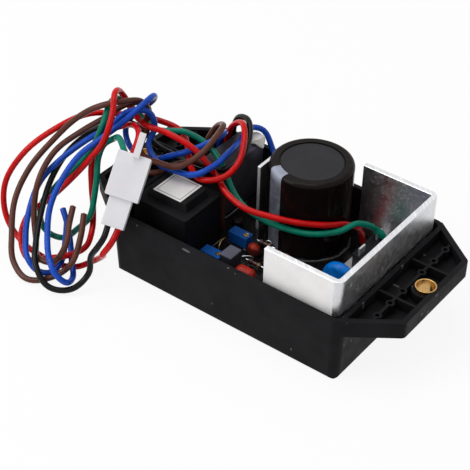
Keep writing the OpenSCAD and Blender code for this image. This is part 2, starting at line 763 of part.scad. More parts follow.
// Dipped disc that stands in the resin, its flat faces across Y
module dipped_disc(d, t) {
    r = t / 2;
    rim = [for (a = [-90:15:90]) [d / 2 - r + r * cos(a), r * sin(a)]];
    difference() {
        translate([0, 0, resin_z + d * (0.5 - sunk)]) rotate([90, 0, 0])
            rotate_extrude() polygon(concat([[0, -r]], rim, [[0, r]]));
        translate([-d, -d, resin_z - 2 * d]) cube([2 * d, 2 * d, 2 * d]);
    }
}

module orange_capacitor() {
    color([0.75, 0.22, 0.08])
        translate([orange_at[0], orange_at[1], 0]) dipped_disc(disc_cap_d, disc_cap_t);
}

module red_capacitor() {
    r = red_w / 2 - 0.4;
    color([0.65, 0.08, 0.06])
        translate([red_at[0], red_at[1], resin_z]) hull()
            for (sx = [-1, 1]) for (z = [r, red_h - r]) for (sy = [-0.4, 0.4])
                translate([sx * (red_l / 2 - r), sy, z]) sphere(r, $fn = 24);
}

module varistor() {
    color([0.05, 0.35, 0.7])
        translate([vari_at[0], vari_at[1], 0]) dipped_disc(vari_d, vari_t);
}

// Small resistor or diode lying between two bent legs
module axial_part(l, d, pitch) {
    z = resin_z + stand + d / 2;
    cap = d * 0.14;
    translate([0, 0, z]) rotate([0, 90, 0]) rotate_extrude()
        polygon([[0, -l / 2], [d / 2 - cap, -l / 2], [d / 2, -l / 2 + cap], [d / 2, -l / 4],
            [d / 2 - cap, -l / 5], [d / 2 - cap, l / 5], [d / 2, l / 4], [d / 2, l / 2 - cap],
            [d / 2 - cap, l / 2], [0, l / 2]]);
    for (s = [-1, 1]) {
        translate([s * pitch / 2, 0, resin_z]) cylinder(d = lead_d, h = z - resin_z);
        translate([s * pitch / 2, 0, z]) sphere(d = lead_d, $fn = 24);
        translate([s < 0 ? -pitch / 2 : l / 2 - eps, 0, z]) rotate([0, 90, 0])
            cylinder(d = lead_d, h = pitch / 2 - l / 2 + eps);
    }
}

module resistor_front() {
    color([0.55, 0.45, 0.3])
        translate([res_front_at[0], res_front_at[1], 0]) axial_part(res_l, res_d, res_pitch);
}

module resistor_side() {
    color([0.55, 0.45, 0.3])
        translate([res_side_at[0], res_side_at[1], 0]) axial_part(res_l, res_d, res_pitch);
}

module diode() {
    color([0.1, 0.1, 0.11])
        translate([diode_at[0], diode_at[1], 0]) axial_part(5.2, 2.7, res_pitch);
}

module ceramic_disc() {
    color([0.45, 0.25, 0.12])
        translate([ceramic_at[0], ceramic_at[1], 0]) dipped_disc(ceramic_d, ceramic_t);
}

// Places a part of the connector: its front end at the origin, its length along Y
module posed() {
    translate(plug_at) rotate(plug_turn) children();
}

module connector_nose() {
    color([0.9, 0.9, 0.91])
        posed() translate([-nose_w / 2, 0, -nose_t / 2]) cube([nose_w, nose_l + nose_in, nose_t]);
}

module connector_shell() {
    g = nose_fit;
    color([0.88, 0.88, 0.9]) posed() {
        difference() {
            translate([0, nose_l + shell_l / 2, -shell_t / 2]) rounded_block(shell_w, shell_l, shell_t, 0.6);
            translate([-nose_w / 2 - g, 0, -nose_t / 2 - g])
                cube([nose_w + 2 * g, nose_l + nose_in + g, nose_t + 2 * g]);
        }
        translate([latch_side - latch_w / 2, nose_l + shell_l - latch_root, shell_t / 2 - eps])
            cube([latch_w, latch_l + latch_root, latch_t]);
    }
}

// Point on a smooth curve between b and c, where a and d are the points before and after
function between(a, b, c, d, t) =
    0.5 * (2 * b + (c - a) * t + (2 * a - 5 * b + 4 * c - d) * t * t + (3 * b - a - 3 * c + d) * t * t * t);
// Point of a route, carried straight on past its two ends
function stop(p, i) = i < 0 ? 2 * p[0] - p[1] : i >= len(p) ? 2 * p[len(p) - 1] - p[len(p) - 2] : p[i];
// A route with two points for each of its steps
function eased(p) = concat([for (i = [0:len(p) - 2]) for (t = [0, 0.5])
    between(stop(p, i - 1), stop(p, i), stop(p, i + 1), stop(p, i + 2), t)], [p[len(p) - 1]]);
function unit(v) = v / norm(v);
function heading(c, i) = unit(c[min(i + 1, len(c) - 1)] - c[max(i - 1, 0)]);
// Sideways direction u made square to a heading t
function squared(u, t) = unit(u - (u * t) * t);
// Sideways direction at each point, carried along so that the tube doesn't twist
function sideways(c) = [for (i = 0, u = squared([0.31, 0.47, 0.83], heading(c, 0)); i < len(c);
    i = i + 1, u = squared(u, heading(c, min(i, len(c) - 1)))) u];

// Tube of a wire along its route
module wire(route) {
    c = eased(route);
    n = wire_sides;
    last = len(c) - 1;
    side = sideways(c);
    rings = [for (i = [0:last]) for (k = [0:n - 1])
        c[i] + wire_d / 2 * (cos(360 * k / n) * side[i] + sin(360 * k / n) * cross(heading(c, i), side[i]))];
    walls = [for (i = [0:last - 1]) for (k = [0:n - 1]) for (half = [0, 1])
        half == 0 ? [i * n + k, (i + 1) * n + k, (i + 1) * n + (k + 1) % n]
            : [i * n + k, (i + 1) * n + (k + 1) % n, i * n + (k + 1) % n]];
    ends = [[for (k = [0:n - 1]) k], [for (k = [n - 1:-1:0]) last * n + k]];
    polyhedron(points = rings, faces = concat(walls, ends), convexity = 10);
}

module wire_red_1() {
    color([0.75, 0.05, 0.05]) wire(route_red_1);
}

module wire_red_2() {
    color([0.75, 0.05, 0.05]) wire(route_red_2);
}

module wire_green() {
    color([0.02, 0.4, 0.25]) wire(route_green);
}

module wire_blue_1() {
    color([0.1, 0.2, 0.75]) wire(route_blue_1);
}

module wire_blue_2() {
    color([0.1, 0.2, 0.75]) wire(route_blue_2);
}

module wire_brown_1() {
    color([0.3, 0.16, 0.12]) wire(route_brown_1);
}

module wire_brown_2() {
    color([0.3, 0.16, 0.12]) wire(route_brown_2);
}

module wire_black() {
    color([0.06, 0.06, 0.07]) wire(route_black);
}

tray();
circuit_board();
resin();
bush_left();
bush_right();
heat_sink();
rectifier();
rectifier_screw();
main_capacitor();
capacitor_end_disc();
plate_sink();
transistor();
transistor_screw();
front_transformer();
transformer_label();
rear_transformer();
glue_dab();
trimmer_1();
trimmer_1_screw();
trimmer_2();
trimmer_2_screw();
film_capacitor();
small_can_capacitor();
orange_capacitor();
red_capacitor();
varistor();
resistor_front();
resistor_side();
diode();
ceramic_disc();
connector_shell();
connector_nose();
wire_red_1();
wire_red_2();
wire_green();
wire_blue_1();
wire_blue_2();
wire_brown_1();
wire_brown_2();
wire_black();
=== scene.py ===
"""Finishes, cords and small details for a generator's automatic voltage regulator.

Everything is in metres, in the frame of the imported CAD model.
"""

import math

import bmesh
import bpy
from bpy.props import FloatProperty, FloatVectorProperty, PointerProperty
from bpy.types import Operator, Panel, PropertyGroup
from mathutils import Matrix, Vector, noise


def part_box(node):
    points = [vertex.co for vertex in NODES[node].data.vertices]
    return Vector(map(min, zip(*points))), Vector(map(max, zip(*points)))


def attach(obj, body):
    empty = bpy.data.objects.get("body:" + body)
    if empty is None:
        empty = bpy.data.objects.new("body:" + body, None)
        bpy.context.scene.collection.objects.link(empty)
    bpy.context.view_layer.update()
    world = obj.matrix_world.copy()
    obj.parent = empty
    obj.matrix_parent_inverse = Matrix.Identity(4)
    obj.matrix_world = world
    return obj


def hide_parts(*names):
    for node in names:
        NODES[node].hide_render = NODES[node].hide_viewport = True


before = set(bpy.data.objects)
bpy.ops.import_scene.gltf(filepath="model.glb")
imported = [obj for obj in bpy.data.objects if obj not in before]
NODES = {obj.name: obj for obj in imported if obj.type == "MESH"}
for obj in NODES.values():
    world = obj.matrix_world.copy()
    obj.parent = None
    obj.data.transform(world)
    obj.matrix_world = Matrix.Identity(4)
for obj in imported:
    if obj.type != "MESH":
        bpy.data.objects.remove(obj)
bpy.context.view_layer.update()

bl_info = {
    "name": "Voltage regulator",
    "version": (1, 0, 0),
    "blender": (4, 5, 0),
    "location": "3D View > Sidebar > Regulator",
    "description": "Builds the finishes, wires and stage of a potted voltage regulator",
    "category": "Object",
}

MM = 0.001
BODY = "regulator"
WHITE = (1.0, 1.0, 1.0, 1.0)

# Camera: its place in metres, azimuth, elevation and roll in degrees, and sensor in millimetres
CAMERA_PLACE = (0.25704, -0.38118, 0.38370)
CAMERA_ANGLES = (36.11, 38.30, 1.48)
SENSOR_WIDTH = 36.0

# Place and width of each lamp, and the floor, in metres
KEY_LAMP = ((-0.6, -0.85, 0.85), 0.8)
TOP_LAMP = ((-0.25, 0.0, 1.15), 0.9)
FLOOR_HALF = 1.6
FLOOR_DROP = 0.02 * MM
FLOOR_COLOUR = (0.94, 0.94, 0.94, 1.0)

# Rounding of hard edges. More on a trimmer would fill the foot of its screw's hole
BUSH_EDGE = 0.12 * MM
SCREW_EDGE = 0.25 * MM
TRANSISTOR_EDGE = 0.15 * MM
DISC_EDGE = 0.12 * MM
CASE_EDGE = 0.3 * MM
TRIMMER_EDGE = 0.1 * MM
ADJUSTER_EDGE = 0.08 * MM

# Heights over the rectifier's underside: where its blades start, and the foot of the boot
BLADE_START = 6.51 * MM
BOOT_FOOT = 6.6 * MM
# Half widths of the boot along and across the blade, from its foot to the wire, in millimetres
BOOT_WIDTHS = ((2.9, 1.5), (3.0, 1.6), (2.6, 1.8), (1.75, 1.65), (1.45, 1.45))
BOOT_SIDES = 24

# Thickness of the transistor's metal tab, and the length of its bare legs
TAB_THICKNESS = 1.31 * MM
LEG_LENGTH = 5.95 * MM

# Middle and half width of the polarity stripe, in degrees round the can
STRIPE_AT = -115.0
STRIPE_HALF = 13.7

# The label's frame line: how far in from the paper's edge it starts and ends, and its ink
LINE_START = 0.95 * MM
LINE_END = 1.3 * MM
LINE_INK = (0.04, 0.04, 0.045, 1.0)

# How far the glue hangs over the corner of the case, and the reach of the haze round it
GLUE_SPILL = 2.2 * MM
HAZE_NEAR = 3 * MM
HAZE_FAR = 10 * MM

# A cut strand: steps along it in millimetres with its share of the full width, and its sides
STRAND_RINGS = ((-0.6, 1.0), (0.28, 1.0), (0.4, 0.7))
STRAND_SIDES = 10

# Parts whose feet the resin climbs, each with its share of the climb, and the round can's share
CLIMBED = (("front_transformer", 1.0), ("rear_transformer", 1.0), ("film_capacitor", 0.55),
           ("trimmer_1", 0.55), ("trimmer_2", 0.55), ("plate_sink", 0.55))
CAN_CLIMB = 1.3

# Brushing with no direction, for small metal parts
EVEN = (1.0, 1.0, 1.0)


def tone(red, green, blue):
    """Colour in scene light from its three display values, 0 to 255."""
    def light(value):
        v = value / 255
        return v / 12.92 if v <= 0.04045 else ((v + 0.055) / 1.055) ** 2.4
    return (light(red), light(green), light(blue), 1.0)


# Routes of the wires in millimetres, as in the part's source
WIRE_ROUTES = {
    "red_1": (
        (-48, 29, 11), (-48, 29, 22), (-47, 28, 34), (-41, 24, 46), (-33, 20, 52), (-27, 13, 50),
        (-23, 3, 45), (-24, -6, 43), (-32, -10, 41), (-40, -6, 41), (-47, 1, 43), (-57, 8, 45),
        (-68, 7, 46), (-78, -3, 50), (-88, -14, 52), (-98, -26, 46), (-106, -38, 36), (-110, -46, 22),
        (-106, -50, 10), (-96, -52, 3), (-84, -54, 3), (-74, -53, 2), (-66, -50, 3), (-60, -47, 7),
        (-53, -48, 14), (-48, -53, 21), (-45, -51, 27), (-45, -46, 32),
    ),
    "red_2": (
        (25, 28, 11), (25, 27, 17), (25, 24, 22), (25, 20, 26), (23, 15, 29), (20, 7, 32),
        (13, 1, 33), (0, -5, 34), (-10, -8, 35), (-20, -7, 37), (-30, -3, 41), (-40, -3, 48),
        (-54, -5, 52), (-64, -7, 53), (-72, -5, 55), (-76, -6, 62), (-74, -13, 68), (-69, -21, 63),
        (-69, -27, 53), (-75, -29, 43), (-82, -34, 32), (-91, -40, 20), (-97, -46, 13), (-95, -53, 7),
        (-87, -58, 2), (-76, -57, 7), (-68, -53, 10), (-65, -46, 11), (-68, -38, 13), (-73, -31, 19),
        (-77, -27, 27), (-79, -24, 36), (-78, -21, 43), (-76, -16, 49), (-70, -13, 53), (-62, -15, 57),
        (-56, -20, 58), (-53, -28, 53),
    ),
    "green": (
        (34, 26, 23), (32, 23, 27), (28, 18, 30), (24, 10, 29), (17, 2, 29), (7, -2, 29),
        (-4, -4, 30), (-14, -4, 32), (-23, 0, 34), (-31, 4, 40), (-40, 7, 44), (-51, 5, 48),
        (-63, -1, 48), (-73, -1, 52), (-78, -4, 58), (-78, -11, 61), (-75, -20, 56), (-78, -25, 44),
        (-84, -30, 34), (-91, -35, 24), (-95, -40, 15), (-91, -43, 7), (-82, -41, 5), (-76, -38, 11),
        (-70, -36, 20), (-71, -32, 27), (-72, -29, 34), (-74, -25, 42), (-73, -23, 47), (-68, -22, 52),
        (-61, -26, 57), (-54, -31, 56),
    ),
    "blue_1": (
        (-48, 24, 11), (-48, 24, 22), (-48, 24, 34), (-43, 21, 43), (-39, 14, 47), (-40, 6, 47),
        (-43, -1, 46), (-51, -6, 42), (-62, -6, 36), (-73, -6, 37), (-79, -1, 44), (-75, 5, 50),
        (-69, 5, 57), (-65, 0, 63), (-64, -8, 63), (-67, -17, 58), (-73, -25, 51), (-79, -31, 44),
        (-82, -39, 35), (-81, -48, 27), (-75, -57, 20), (-69, -63, 15), (-63, -66, 11), (-60, -63, 6),
        (-62, -57, 4), (-67, -52, 6), (-72, -47, 11), (-77, -43, 16), (-82, -40, 20),
    ),
    "blue_2": (
        (-23, 32, 11), (-22, 32, 20), (-24, 33, 28), (-28, 35, 34), (-33, 35, 41), (-36, 29, 44),
        (-34, 20, 43), (-31, 8, 45), (-30, -4, 45), (-33, -12, 44), (-43, -13, 42), (-55, -11, 41),
        (-61, -8, 45), (-61, -4, 51), (-63, -4, 57), (-68, -11, 60), (-74, -18, 53), (-83, -22, 45),
        (-90, -31, 37), (-95, -39, 28), (-94, -48, 18), (-88, -57, 12), (-81, -63, 7), (-75, -63, 4),
        (-71, -60, 4), (-71, -54, 6), (-75, -47, 10), (-81, -39, 14),
    ),
    "brown_1": (
        (-51, 18, 11), (-51, 18, 22), (-50, 17, 33), (-47, 14, 41), (-44, 16, 48), (-38, 13, 53),
        (-35, 4, 53), (-35, -7, 50), (-40, -14, 46), (-50, -15, 44), (-61, -13, 43), (-67, -6, 48),
        (-66, -2, 55), (-67, -4, 61), (-71, -12, 64), (-78, -18, 62), (-88, -22, 54), (-96, -29, 43),
        (-101, -39, 32), (-100, -50, 22), (-94, -59, 13), (-87, -66, 5), (-78, -68, 2), (-69, -63, 4),
        (-63, -57, 10), (-64, -49, 19), (-68, -42, 25),
    ),
    "brown_2": (
        (-28, 0, 11), (-28, 0, 22), (-29, 1, 31), (-34, 3, 38), (-42, 1, 39), (-48, -6, 39),
        (-54, -13, 36), (-61, -14, 36), (-67, -6, 41), (-69, 2, 47), (-70, 2, 55), (-72, -7, 60),
        (-79, -15, 54), (-87, -21, 47), (-93, -31, 40), (-93, -42, 31), (-91, -48, 20), (-85, -54, 11),
        (-77, -61, 9), (-70, -60, 10), (-67, -55, 17), (-71, -48, 22), (-74, -42, 26),
    ),
    "black": (
        (-48, 34, 11), (-48, 34, 22), (-47, 33, 32), (-45, 30, 40), (-41, 28, 48), (-34, 25, 51),
        (-28, 18, 48), (-26, 10, 45), (-26, 4, 43), (-31, 0, 40), (-42, 0, 36), (-54, 0, 38),
        (-64, 0, 39), (-72, 1, 43), (-78, -4, 47), (-84, -14, 46), (-90, -25, 39), (-92, -35, 29),
        (-87, -48, 20), (-81, -58, 14), (-75, -65, 9), (-66, -67, 3), (-58, -62, 3), (-55, -55, 8),
        (-54, -54, 17), (-50, -54, 24), (-48, -52, 29), (-49, -48, 33),
    ),
}

# Wires that end in the connector. The others end bare
CONNECTED = ("red_1", "red_2", "green", "black")

# Loose bare leads in millimetres, each with its metal
LEAD_DIAMETER = 0.55 * MM
LEADS = (
    ("film", "gold", ((-20, -13, 11), (-20, -12.6, 13), (-20.4, -11, 14.4), (-20.6, -8.6, 14.6),
                      (-20.8, -6.4, 13.6), (-20.8, -6, 11))),
    ("loop", "tin", ((-6.4, 1, 11), (-6.2, 1.2, 13.6), (-5, 1.6, 15), (-3.6, 1.8, 14.6),
                     (-3, 1.8, 13), (-3, 1.6, 11))),
    ("bow", "tin", ((-9.4, -12.4, 11), (-9, -12, 12.8), (-7.4, -10.8, 13.4), (-5.8, -9.2, 13),
                    (-4.8, -8, 11))),
)

# Colour bands: place along the body from its middle in millimetres, and paint
BAND_HALF = 0.3 * MM
RESISTOR_BANDS = ((-2.1, tone(70, 34, 20)), (-1.0, tone(16, 16, 16)), (0.0, tone(96, 30, 18)),
                  (2.0, tone(104, 82, 40)))
DIODE_BANDS = ((1.7, tone(150, 150, 152)),)
# Half length of the coated body, up to where the legs start
RESISTOR_HALF = 3.105 * MM
DIODE_HALF = 2.605 * MM


def colour_prop(name, what, red, green, blue):
    return FloatVectorProperty(name=name, description="Colour of " + what, subtype="COLOR",
                               default=tone(red, green, blue), size=4, min=0.0, max=1.0)


def length_prop(name, description, default):
    return FloatProperty(name=name, description=description, default=default,
                         min=0.0, unit="LENGTH", precision=5)


class WireSettings(PropertyGroup):
    """Sizes and colours of the wire harness."""
    diameter: length_prop("Diameter", "Diameter of a wire over its insulation", 2.6 * MM)
    core: length_prop("Core", "Diameter of the bundle of strands in a wire", 1.25 * MM)
    red: colour_prop("Red", "the red insulation", 196, 8, 10)
    green: colour_prop("Green", "the green insulation", 0, 116, 94)
    blue: colour_prop("Blue", "the blue insulation", 20, 72, 178)
    brown: colour_prop("Brown", "the brown insulation", 88, 50, 40)
    black: colour_prop("Black", "the black insulation", 16, 16, 18)
    copper: colour_prop("Copper", "the bare strands", 214, 140, 100)


class TraySettings(PropertyGroup):
    """Looks of the tray and of what is poured into it."""
    plastic: colour_prop("Plastic", "the moulded tray", 25, 25, 27)
    lint: colour_prop("Lint", "the lint that lies on the tray", 120, 120, 122)
    resin: colour_prop("Resin", "the potting resin", 21, 19, 20)
    board: colour_prop("Board", "the circuit board", 22, 66, 42)
    climb: length_prop("Climb", "How far the resin climbs at what stands in it", 0.9 * MM)


class MetalSettings(PropertyGroup):
    """Colours of the bare metals."""
    aluminium: colour_prop("Aluminium", "the heat sinks", 216, 217, 220)
    sanded: colour_prop("Sanded", "sanded aluminium", 244, 242, 241)
    brass: colour_prop("Brass", "the bushes", 194, 156, 98)
    screw: colour_prop("Adjusting screw", "the adjusting screws", 172, 150, 112)
    steel: colour_prop("Steel", "the screws", 196, 196, 199)
    tin: colour_prop("Tin", "tinned leads and solder", 205, 206, 208)
    edge: length_prop("Edge", "Softness of the cut sheet edges", 0.3 * MM)


class PartSettings(PropertyGroup):
    """Colours of the parts on the board."""
    sleeve: colour_prop("Sleeve", "the main capacitor's sleeve", 20, 13, 12)
    # Full colour of the stripe, shown only on the can's top bend as a painted highlight; lower down it
    # is painted darker as shade
    stripe: colour_prop("Stripe", "the polarity stripe", 156, 160, 176)
    haze: colour_prop("Glue haze", "the haze round the glue", 132, 126, 146)
    disc: colour_prop("End disc", "the capacitor's end disc", 42, 42, 45)
    case: colour_prop("Case", "the front transformer's case", 22, 22, 24)
    back_case: colour_prop("Rear case", "the rear transformer case", 58, 56, 60)
    label: colour_prop("Label", "the bare label", 226, 224, 222)
    glue: colour_prop("Glue", "the glue dab", 228, 224, 218)
    trimmer: colour_prop("Trimmer", "the trimmer bodies", 16, 82, 160)
    film: colour_prop("Film capacitor", "the box capacitor", 88, 90, 102)
    orange: colour_prop("Orange dip", "the orange capacitor", 172, 46, 22)
    red: colour_prop("Red dip", "the red capacitor", 158, 34, 24)
    blue: colour_prop("Blue dip", "the varistor", 1, 100, 184)
    tan: colour_prop("Resistor", "the resistor bodies", 50, 26, 20)
    brown: colour_prop("Brown dip", "the ceramic disc", 118, 66, 34)
    epoxy: colour_prop("Epoxy", "moulded black epoxy", 24, 24, 26)


class ConnectorSettings(PropertyGroup):
    """Looks of the nylon connector."""
    nylon: colour_prop("Nylon", "the two housings", 228, 227, 231)
    edge: length_prop("Edge", "Softness of the housings' edges", 0.28 * MM)


class StageSettings(PropertyGroup):
    """Camera, lamps and floor."""
    lens: FloatProperty(name="Lens", description="Focal length of the camera in millimetres",
                        default=108.78, min=1.0)
    key: FloatProperty(name="Key lamp", description="Power of the front lamp", default=7.0, min=0.0)
    top: FloatProperty(name="Top lamp", description="Power of the lamp overhead", default=5.0, min=0.0)
    ambient: FloatProperty(name="Ambient", description="Strength of the light from all round",
                           default=0.42, min=0.0)
    shadow: FloatProperty(name="Shadow", description="Share of the floor that takes shadow",
                          default=0.1, min=0.0, max=1.0, subtype="FACTOR")


def adjust(thing, **settings):
    """Sets several values of a thing, in their order."""
    for key, value in settings.items():
        setattr(thing, key, value)
    return thing


def add_object(name, data):
    """A new object in the scene."""
    obj = bpy.data.objects.new(name, data)
    bpy.context.scene.collection.objects.link(obj)
    return obj


def middle_of(node):
    """Middle of a CAD node's box."""
    return tuple((a + b) / 2 for a, b in zip(*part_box(node)))


# Shader building


class NodeTree:
    """Short ways to add and join nodes in a material or a node group."""

    def __init__(self, tree):
        self.tree = tree

    def add(self, kind, **settings):
        return adjust(self.tree.nodes.new(kind), **settings)

    def put(self, socket, value):
        """Joins an output to an input, or writes a plain value on the input."""
        if isinstance(value, bpy.types.NodeSocket):
            self.tree.links.new(value, socket)
        else:
            socket.default_value = value

    def feed(self, node, inputs):
        """Fills inputs of a node by name or number, and gives its outputs."""
        for key, value in inputs.items():
            self.put(node.inputs[key], value)
        return node.outputs

    def math(self, operation, a, b=0.0):
        return self.feed(self.add("ShaderNodeMath", operation=operation), {0: a, 1: b})[0]

    def plus(self, a, b):
        return self.math("ADD", a, b)

    def minus(self, a, b):
        return self.math("SUBTRACT", a, b)

    def times(self, a, b):
        return self.math("MULTIPLY", a, b)

    def over(self, a, b):
        """1 where a is more than b."""
        return self.math("GREATER_THAN", a, b)

    def under(self, a, b):
        """1 where a is less than b."""
        return self.math("LESS_THAN", a, b)

    def all_of(self, *masks):
        out = masks[0]
        for mask in masks[1:]:
            out = self.times(out, mask)
        return out

    def any_of(self, *masks):
        out = masks[0]
        for mask in masks[1:]:
            out = self.math("MAXIMUM", out, mask)
        return out

    def mix(self, factor, a, b, blend="MIX"):
        node = self.add("ShaderNodeMix", data_type="RGBA", blend_type=blend)
        return self.feed(node, {0: factor, 6: a, 7: b})[2]

    def span(self, value, low, high, to_low=0.0, to_high=1.0):
        node = self.add("ShaderNodeMapRange", interpolation_type="SMOOTHSTEP")
        return self.feed(node, {0: value, 1: low, 2: high, 3: to_low, 4: to_high})[0]

    def place(self):
        """Object coordinates, which are the frame's own metres at rest."""
        return self.add("ShaderNodeTexCoord").outputs["Object"]

    def axes(self):
        return self.feed(self.add("ShaderNodeSeparateXYZ"), {0: self.place()})

    def vector(self, operation, a, b):
        return self.feed(self.add("ShaderNodeVectorMath", operation=operation), {0: a, 1: b})

    def stretched(self, scale):
        return self.feed(self.add("ShaderNodeMapping"), {"Vector": self.place(), "Scale": scale})[0]

    def noise(self, scale, detail=3.0, vector=None, rough=0.5):
        return self.feed(self.add("ShaderNodeTexNoise"), {
            "Vector": vector or self.place(), "Scale": scale, "Detail": detail, "Roughness": rough})[0]

    def cells(self, scale, vector=None):
        outputs = self.feed(self.add("ShaderNodeTexVoronoi"), {
            "Vector": vector or self.place(), "Scale": scale})
        return outputs["Distance"], outputs["Color"]

    def group(self, tree, **inputs):
        return self.feed(self.add("ShaderNodeGroup", node_tree=tree), inputs)


class Finish(NodeTree):
    """A material with one Principled shader."""

    def __init__(self, name, **values):
        self.material = bpy.data.materials.new(name)
        self.material.use_nodes = True
        super().__init__(self.material.node_tree)
        self.tree.nodes.clear()
        out = self.add("ShaderNodeOutputMaterial")
        self.shader = self.add("ShaderNodeBsdfPrincipled")
        self.put(out.inputs["Surface"], self.shader.outputs[0])
        for key, value in values.items():
            self.set(key.replace("_", " "), value)

    def set(self, socket, value):
        self.put(self.shader.inputs[socket], value)

    def base(self):
        """What feeds the base colour so far."""
        return self.shader.inputs["Base Color"].links[0].from_socket

    def drift(self, colour, amount, scale=60.0):
        """A colour whose tone drifts over the surface."""
        return self.group(shared("drift"), Colour=colour, Drift=amount, Scale=scale)["Colour"]

    def smudge(self, low, high, scale=90.0):
        """Roughness that wanders between two values."""
        return self.group(shared("smudge"), Low=low, High=high, Scale=scale)["Roughness"]

    def bump(self, height, distance, strength):
        node = self.add("ShaderNodeBump")
        inputs = {"Height": height, "Distance": distance, "Strength": strength}
        self.set("Normal", self.feed(node, inputs)[0])


def new_group(name, inputs, outputs):
    """An empty shader node group with its sockets, and the ends to build between."""
    tree = bpy.data.node_groups.new(name, "ShaderNodeTree")
    for label, kind, default in inputs:
        socket = tree.interface.new_socket(label, in_out="INPUT", socket_type=kind)
        socket.default_value = default
    for label, kind in outputs:
        tree.interface.new_socket(label, in_out="OUTPUT", socket_type=kind)
    build = NodeTree(tree)
    return build, build.add("NodeGroupInput").outputs, build.add("NodeGroupOutput").inputs


FLOAT = "NodeSocketFloat"
COLOUR = "NodeSocketColor"
VECTOR = "NodeSocketVector"
GREY = (0.5, 0.5, 0.5, 1.0)


def tone_drift_group():
    """Slow change of tone over a surface."""
    build, start, end = new_group(
        "Tone drift",
        [("Colour", COLOUR, GREY), ("Drift", FLOAT, 0.1), ("Scale", FLOAT, 60.0)],
        [("Colour", COLOUR)])
    cloud = build.noise(start["Scale"], 4.0)
    low = build.minus(1.0, start["Drift"])
    high = build.plus(1.0, start["Drift"])
    gain = build.span(cloud, 0.3, 0.7, low, high)
    build.put(end["Colour"], build.mix(1.0, start["Colour"], gain, "MULTIPLY"))
    return build.tree


def smudge_group():
    """Roughness that wanders between two values."""
    build, start, end = new_group(
        "Smudge",
        [("Low", FLOAT, 0.3), ("High", FLOAT, 0.5), ("Scale", FLOAT, 90.0)],
        [("Roughness", FLOAT)])
    cloud = build.noise(start["Scale"], 5.0, rough=0.6)
    build.put(end["Roughness"], build.span(cloud, 0.32, 0.68, start["Low"], start["High"]))
    return build.tree


def grain_group():
    """Fine spark-eroded grain of a mould."""
    build, start, end = new_group(
        "Moulded grain", [("Scale", FLOAT, 1800.0)], [("Height", FLOAT)])
    pits, _ = build.cells(start["Scale"])
    fine = build.noise(build.times(start["Scale"], 2.3), 2.0)
    build.put(end["Height"], build.plus(pits, fine))
    return build.tree


def lint_group():
    """Specks and short fibres of lint lying on a surface."""
    build, start, end = new_group(
        "Lint",
        [("Base", COLOUR, GREY), ("Lint", COLOUR, GREY), ("Scale", FLOAT, 300.0),
         ("Cover", FLOAT, 0.1), ("Size", FLOAT, 0.18)],
        [("Colour", COLOUR)])
    masks = []
    sheets = ((1.0, (1.0, 1.0, 1.0)), (0.55, (1.0, 1.0, 0.35)), (0.7, (0.3, 1.0, 1.0)))
    for factor, stretch in sheets:
        scale = build.times(start["Scale"], factor)
        distance, colour = build.cells(scale, build.stretched(stretch))
        split = build.feed(build.add("ShaderNodeSeparateColor"), {0: colour})
        chosen = build.under(split[0], start["Cover"])
        size = build.times(start["Size"], build.plus(split[1], 0.4))
        masks.append(build.all_of(chosen, build.under(distance, size)))
    soft = build.times(build.any_of(*masks), 0.6)
    build.put(end["Colour"], build.mix(soft, start["Base"], start["Lint"]))
    return build.tree


def brushing_group():
    """Fine lines and odd scratches along one direction of a sheet."""
    build, start, end = new_group(
        "Brushing",
        [("Along", VECTOR, (1.0, 20.0, 20.0)), ("Scale", FLOAT, 120.0)],
        [("Lines", FLOAT), ("Scratches", FLOAT)])
    drawn = build.vector("MULTIPLY", build.place(), start["Along"])[0]
    lines = build.noise(start["Scale"], 5.0, drawn, 0.65)
    deep = build.noise(build.times(start["Scale"], 0.35), 2.0, drawn)
    build.put(end["Lines"], lines)
    build.put(end["Scratches"], build.span(deep, 0.62, 0.7))
    return build.tree


GROUPS = {}


def shared(name):
    """One of the shared effects, built the first time that it is used."""
    makers = {"drift": tone_drift_group, "smudge": smudge_group, "grain": grain_group,
              "lint": lint_group, "brushing": brushing_group}
    if name not in GROUPS:
        GROUPS[name] = makers[name]()
    return GROUPS[name]


def scaled(colour, factor, lift=0.0):
    """A colour made darker or paler."""
    return tuple(factor * c + lift for c in colour[:3]) + (1.0,)


def moulded(name, colour, rough=(0.38, 0.52), grain=1500.0, depth=0.012, gloss=0.15, drift=0.18):
    """Moulded plastic with a fine grain of a depth in millimetres."""
    finish = Finish(name, Specular_IOR_Level=gloss)
    finish.set("Base Color", finish.drift(colour, drift, 110.0))
    finish.set("Roughness", finish.smudge(*rough))
    finish.bump(finish.group(shared("grain"), Scale=grain)["Height"], depth * MM, 0.5)
    return finish


def bare_metal(name, colour, rough, along, scale):
    """Sheet or turned metal with brushing lines."""
    finish = Finish(name, Metallic=1.0)
    lines = finish.group(shared("brushing"), Along=along, Scale=scale)
    worn = finish.times(lines["Scratches"], 0.35)
    finish.set("Base Color", finish.mix(worn, finish.drift(colour, 0.1, 70.0), scaled(colour, 0.72)))
    finish.set("Roughness", finish.span(lines["Lines"], 0.3, 0.7, *rough))
    finish.bump(lines["Lines"], 0.01 * MM, 0.5)
    return finish


# Mesh building


def dress(node, finish, edge=0.0):
    """Gives a CAD node its material, and rounds its hard edges if a width is given."""
    obj = NODES[node]
    if not obj.material_slots:
        obj.data.materials.append(finish.material)
    for slot in obj.material_slots:
        slot.material = finish.material
    if edge:
        soften(obj, edge)


def soften(obj, width):
    """Rounds the hard edges of an object with modifiers, and leaves its mesh alone."""
    adjust(obj.modifiers.new("Join", "WELD"), merge_threshold=0.002 * MM)
    adjust(obj.modifiers.new("Flatten", "DECIMATE"), decimate_type="DISSOLVE",
           angle_limit=math.radians(0.5))
    adjust(obj.modifiers.new("Soft edges", "BEVEL"), width=width, segments=2, limit_method="ANGLE",
           angle_limit=math.radians(28.0), use_clamp_overlap=True)
    adjust(obj.modifiers.new("Shading", "WEIGHTED_NORMAL"), keep_sharp=False)


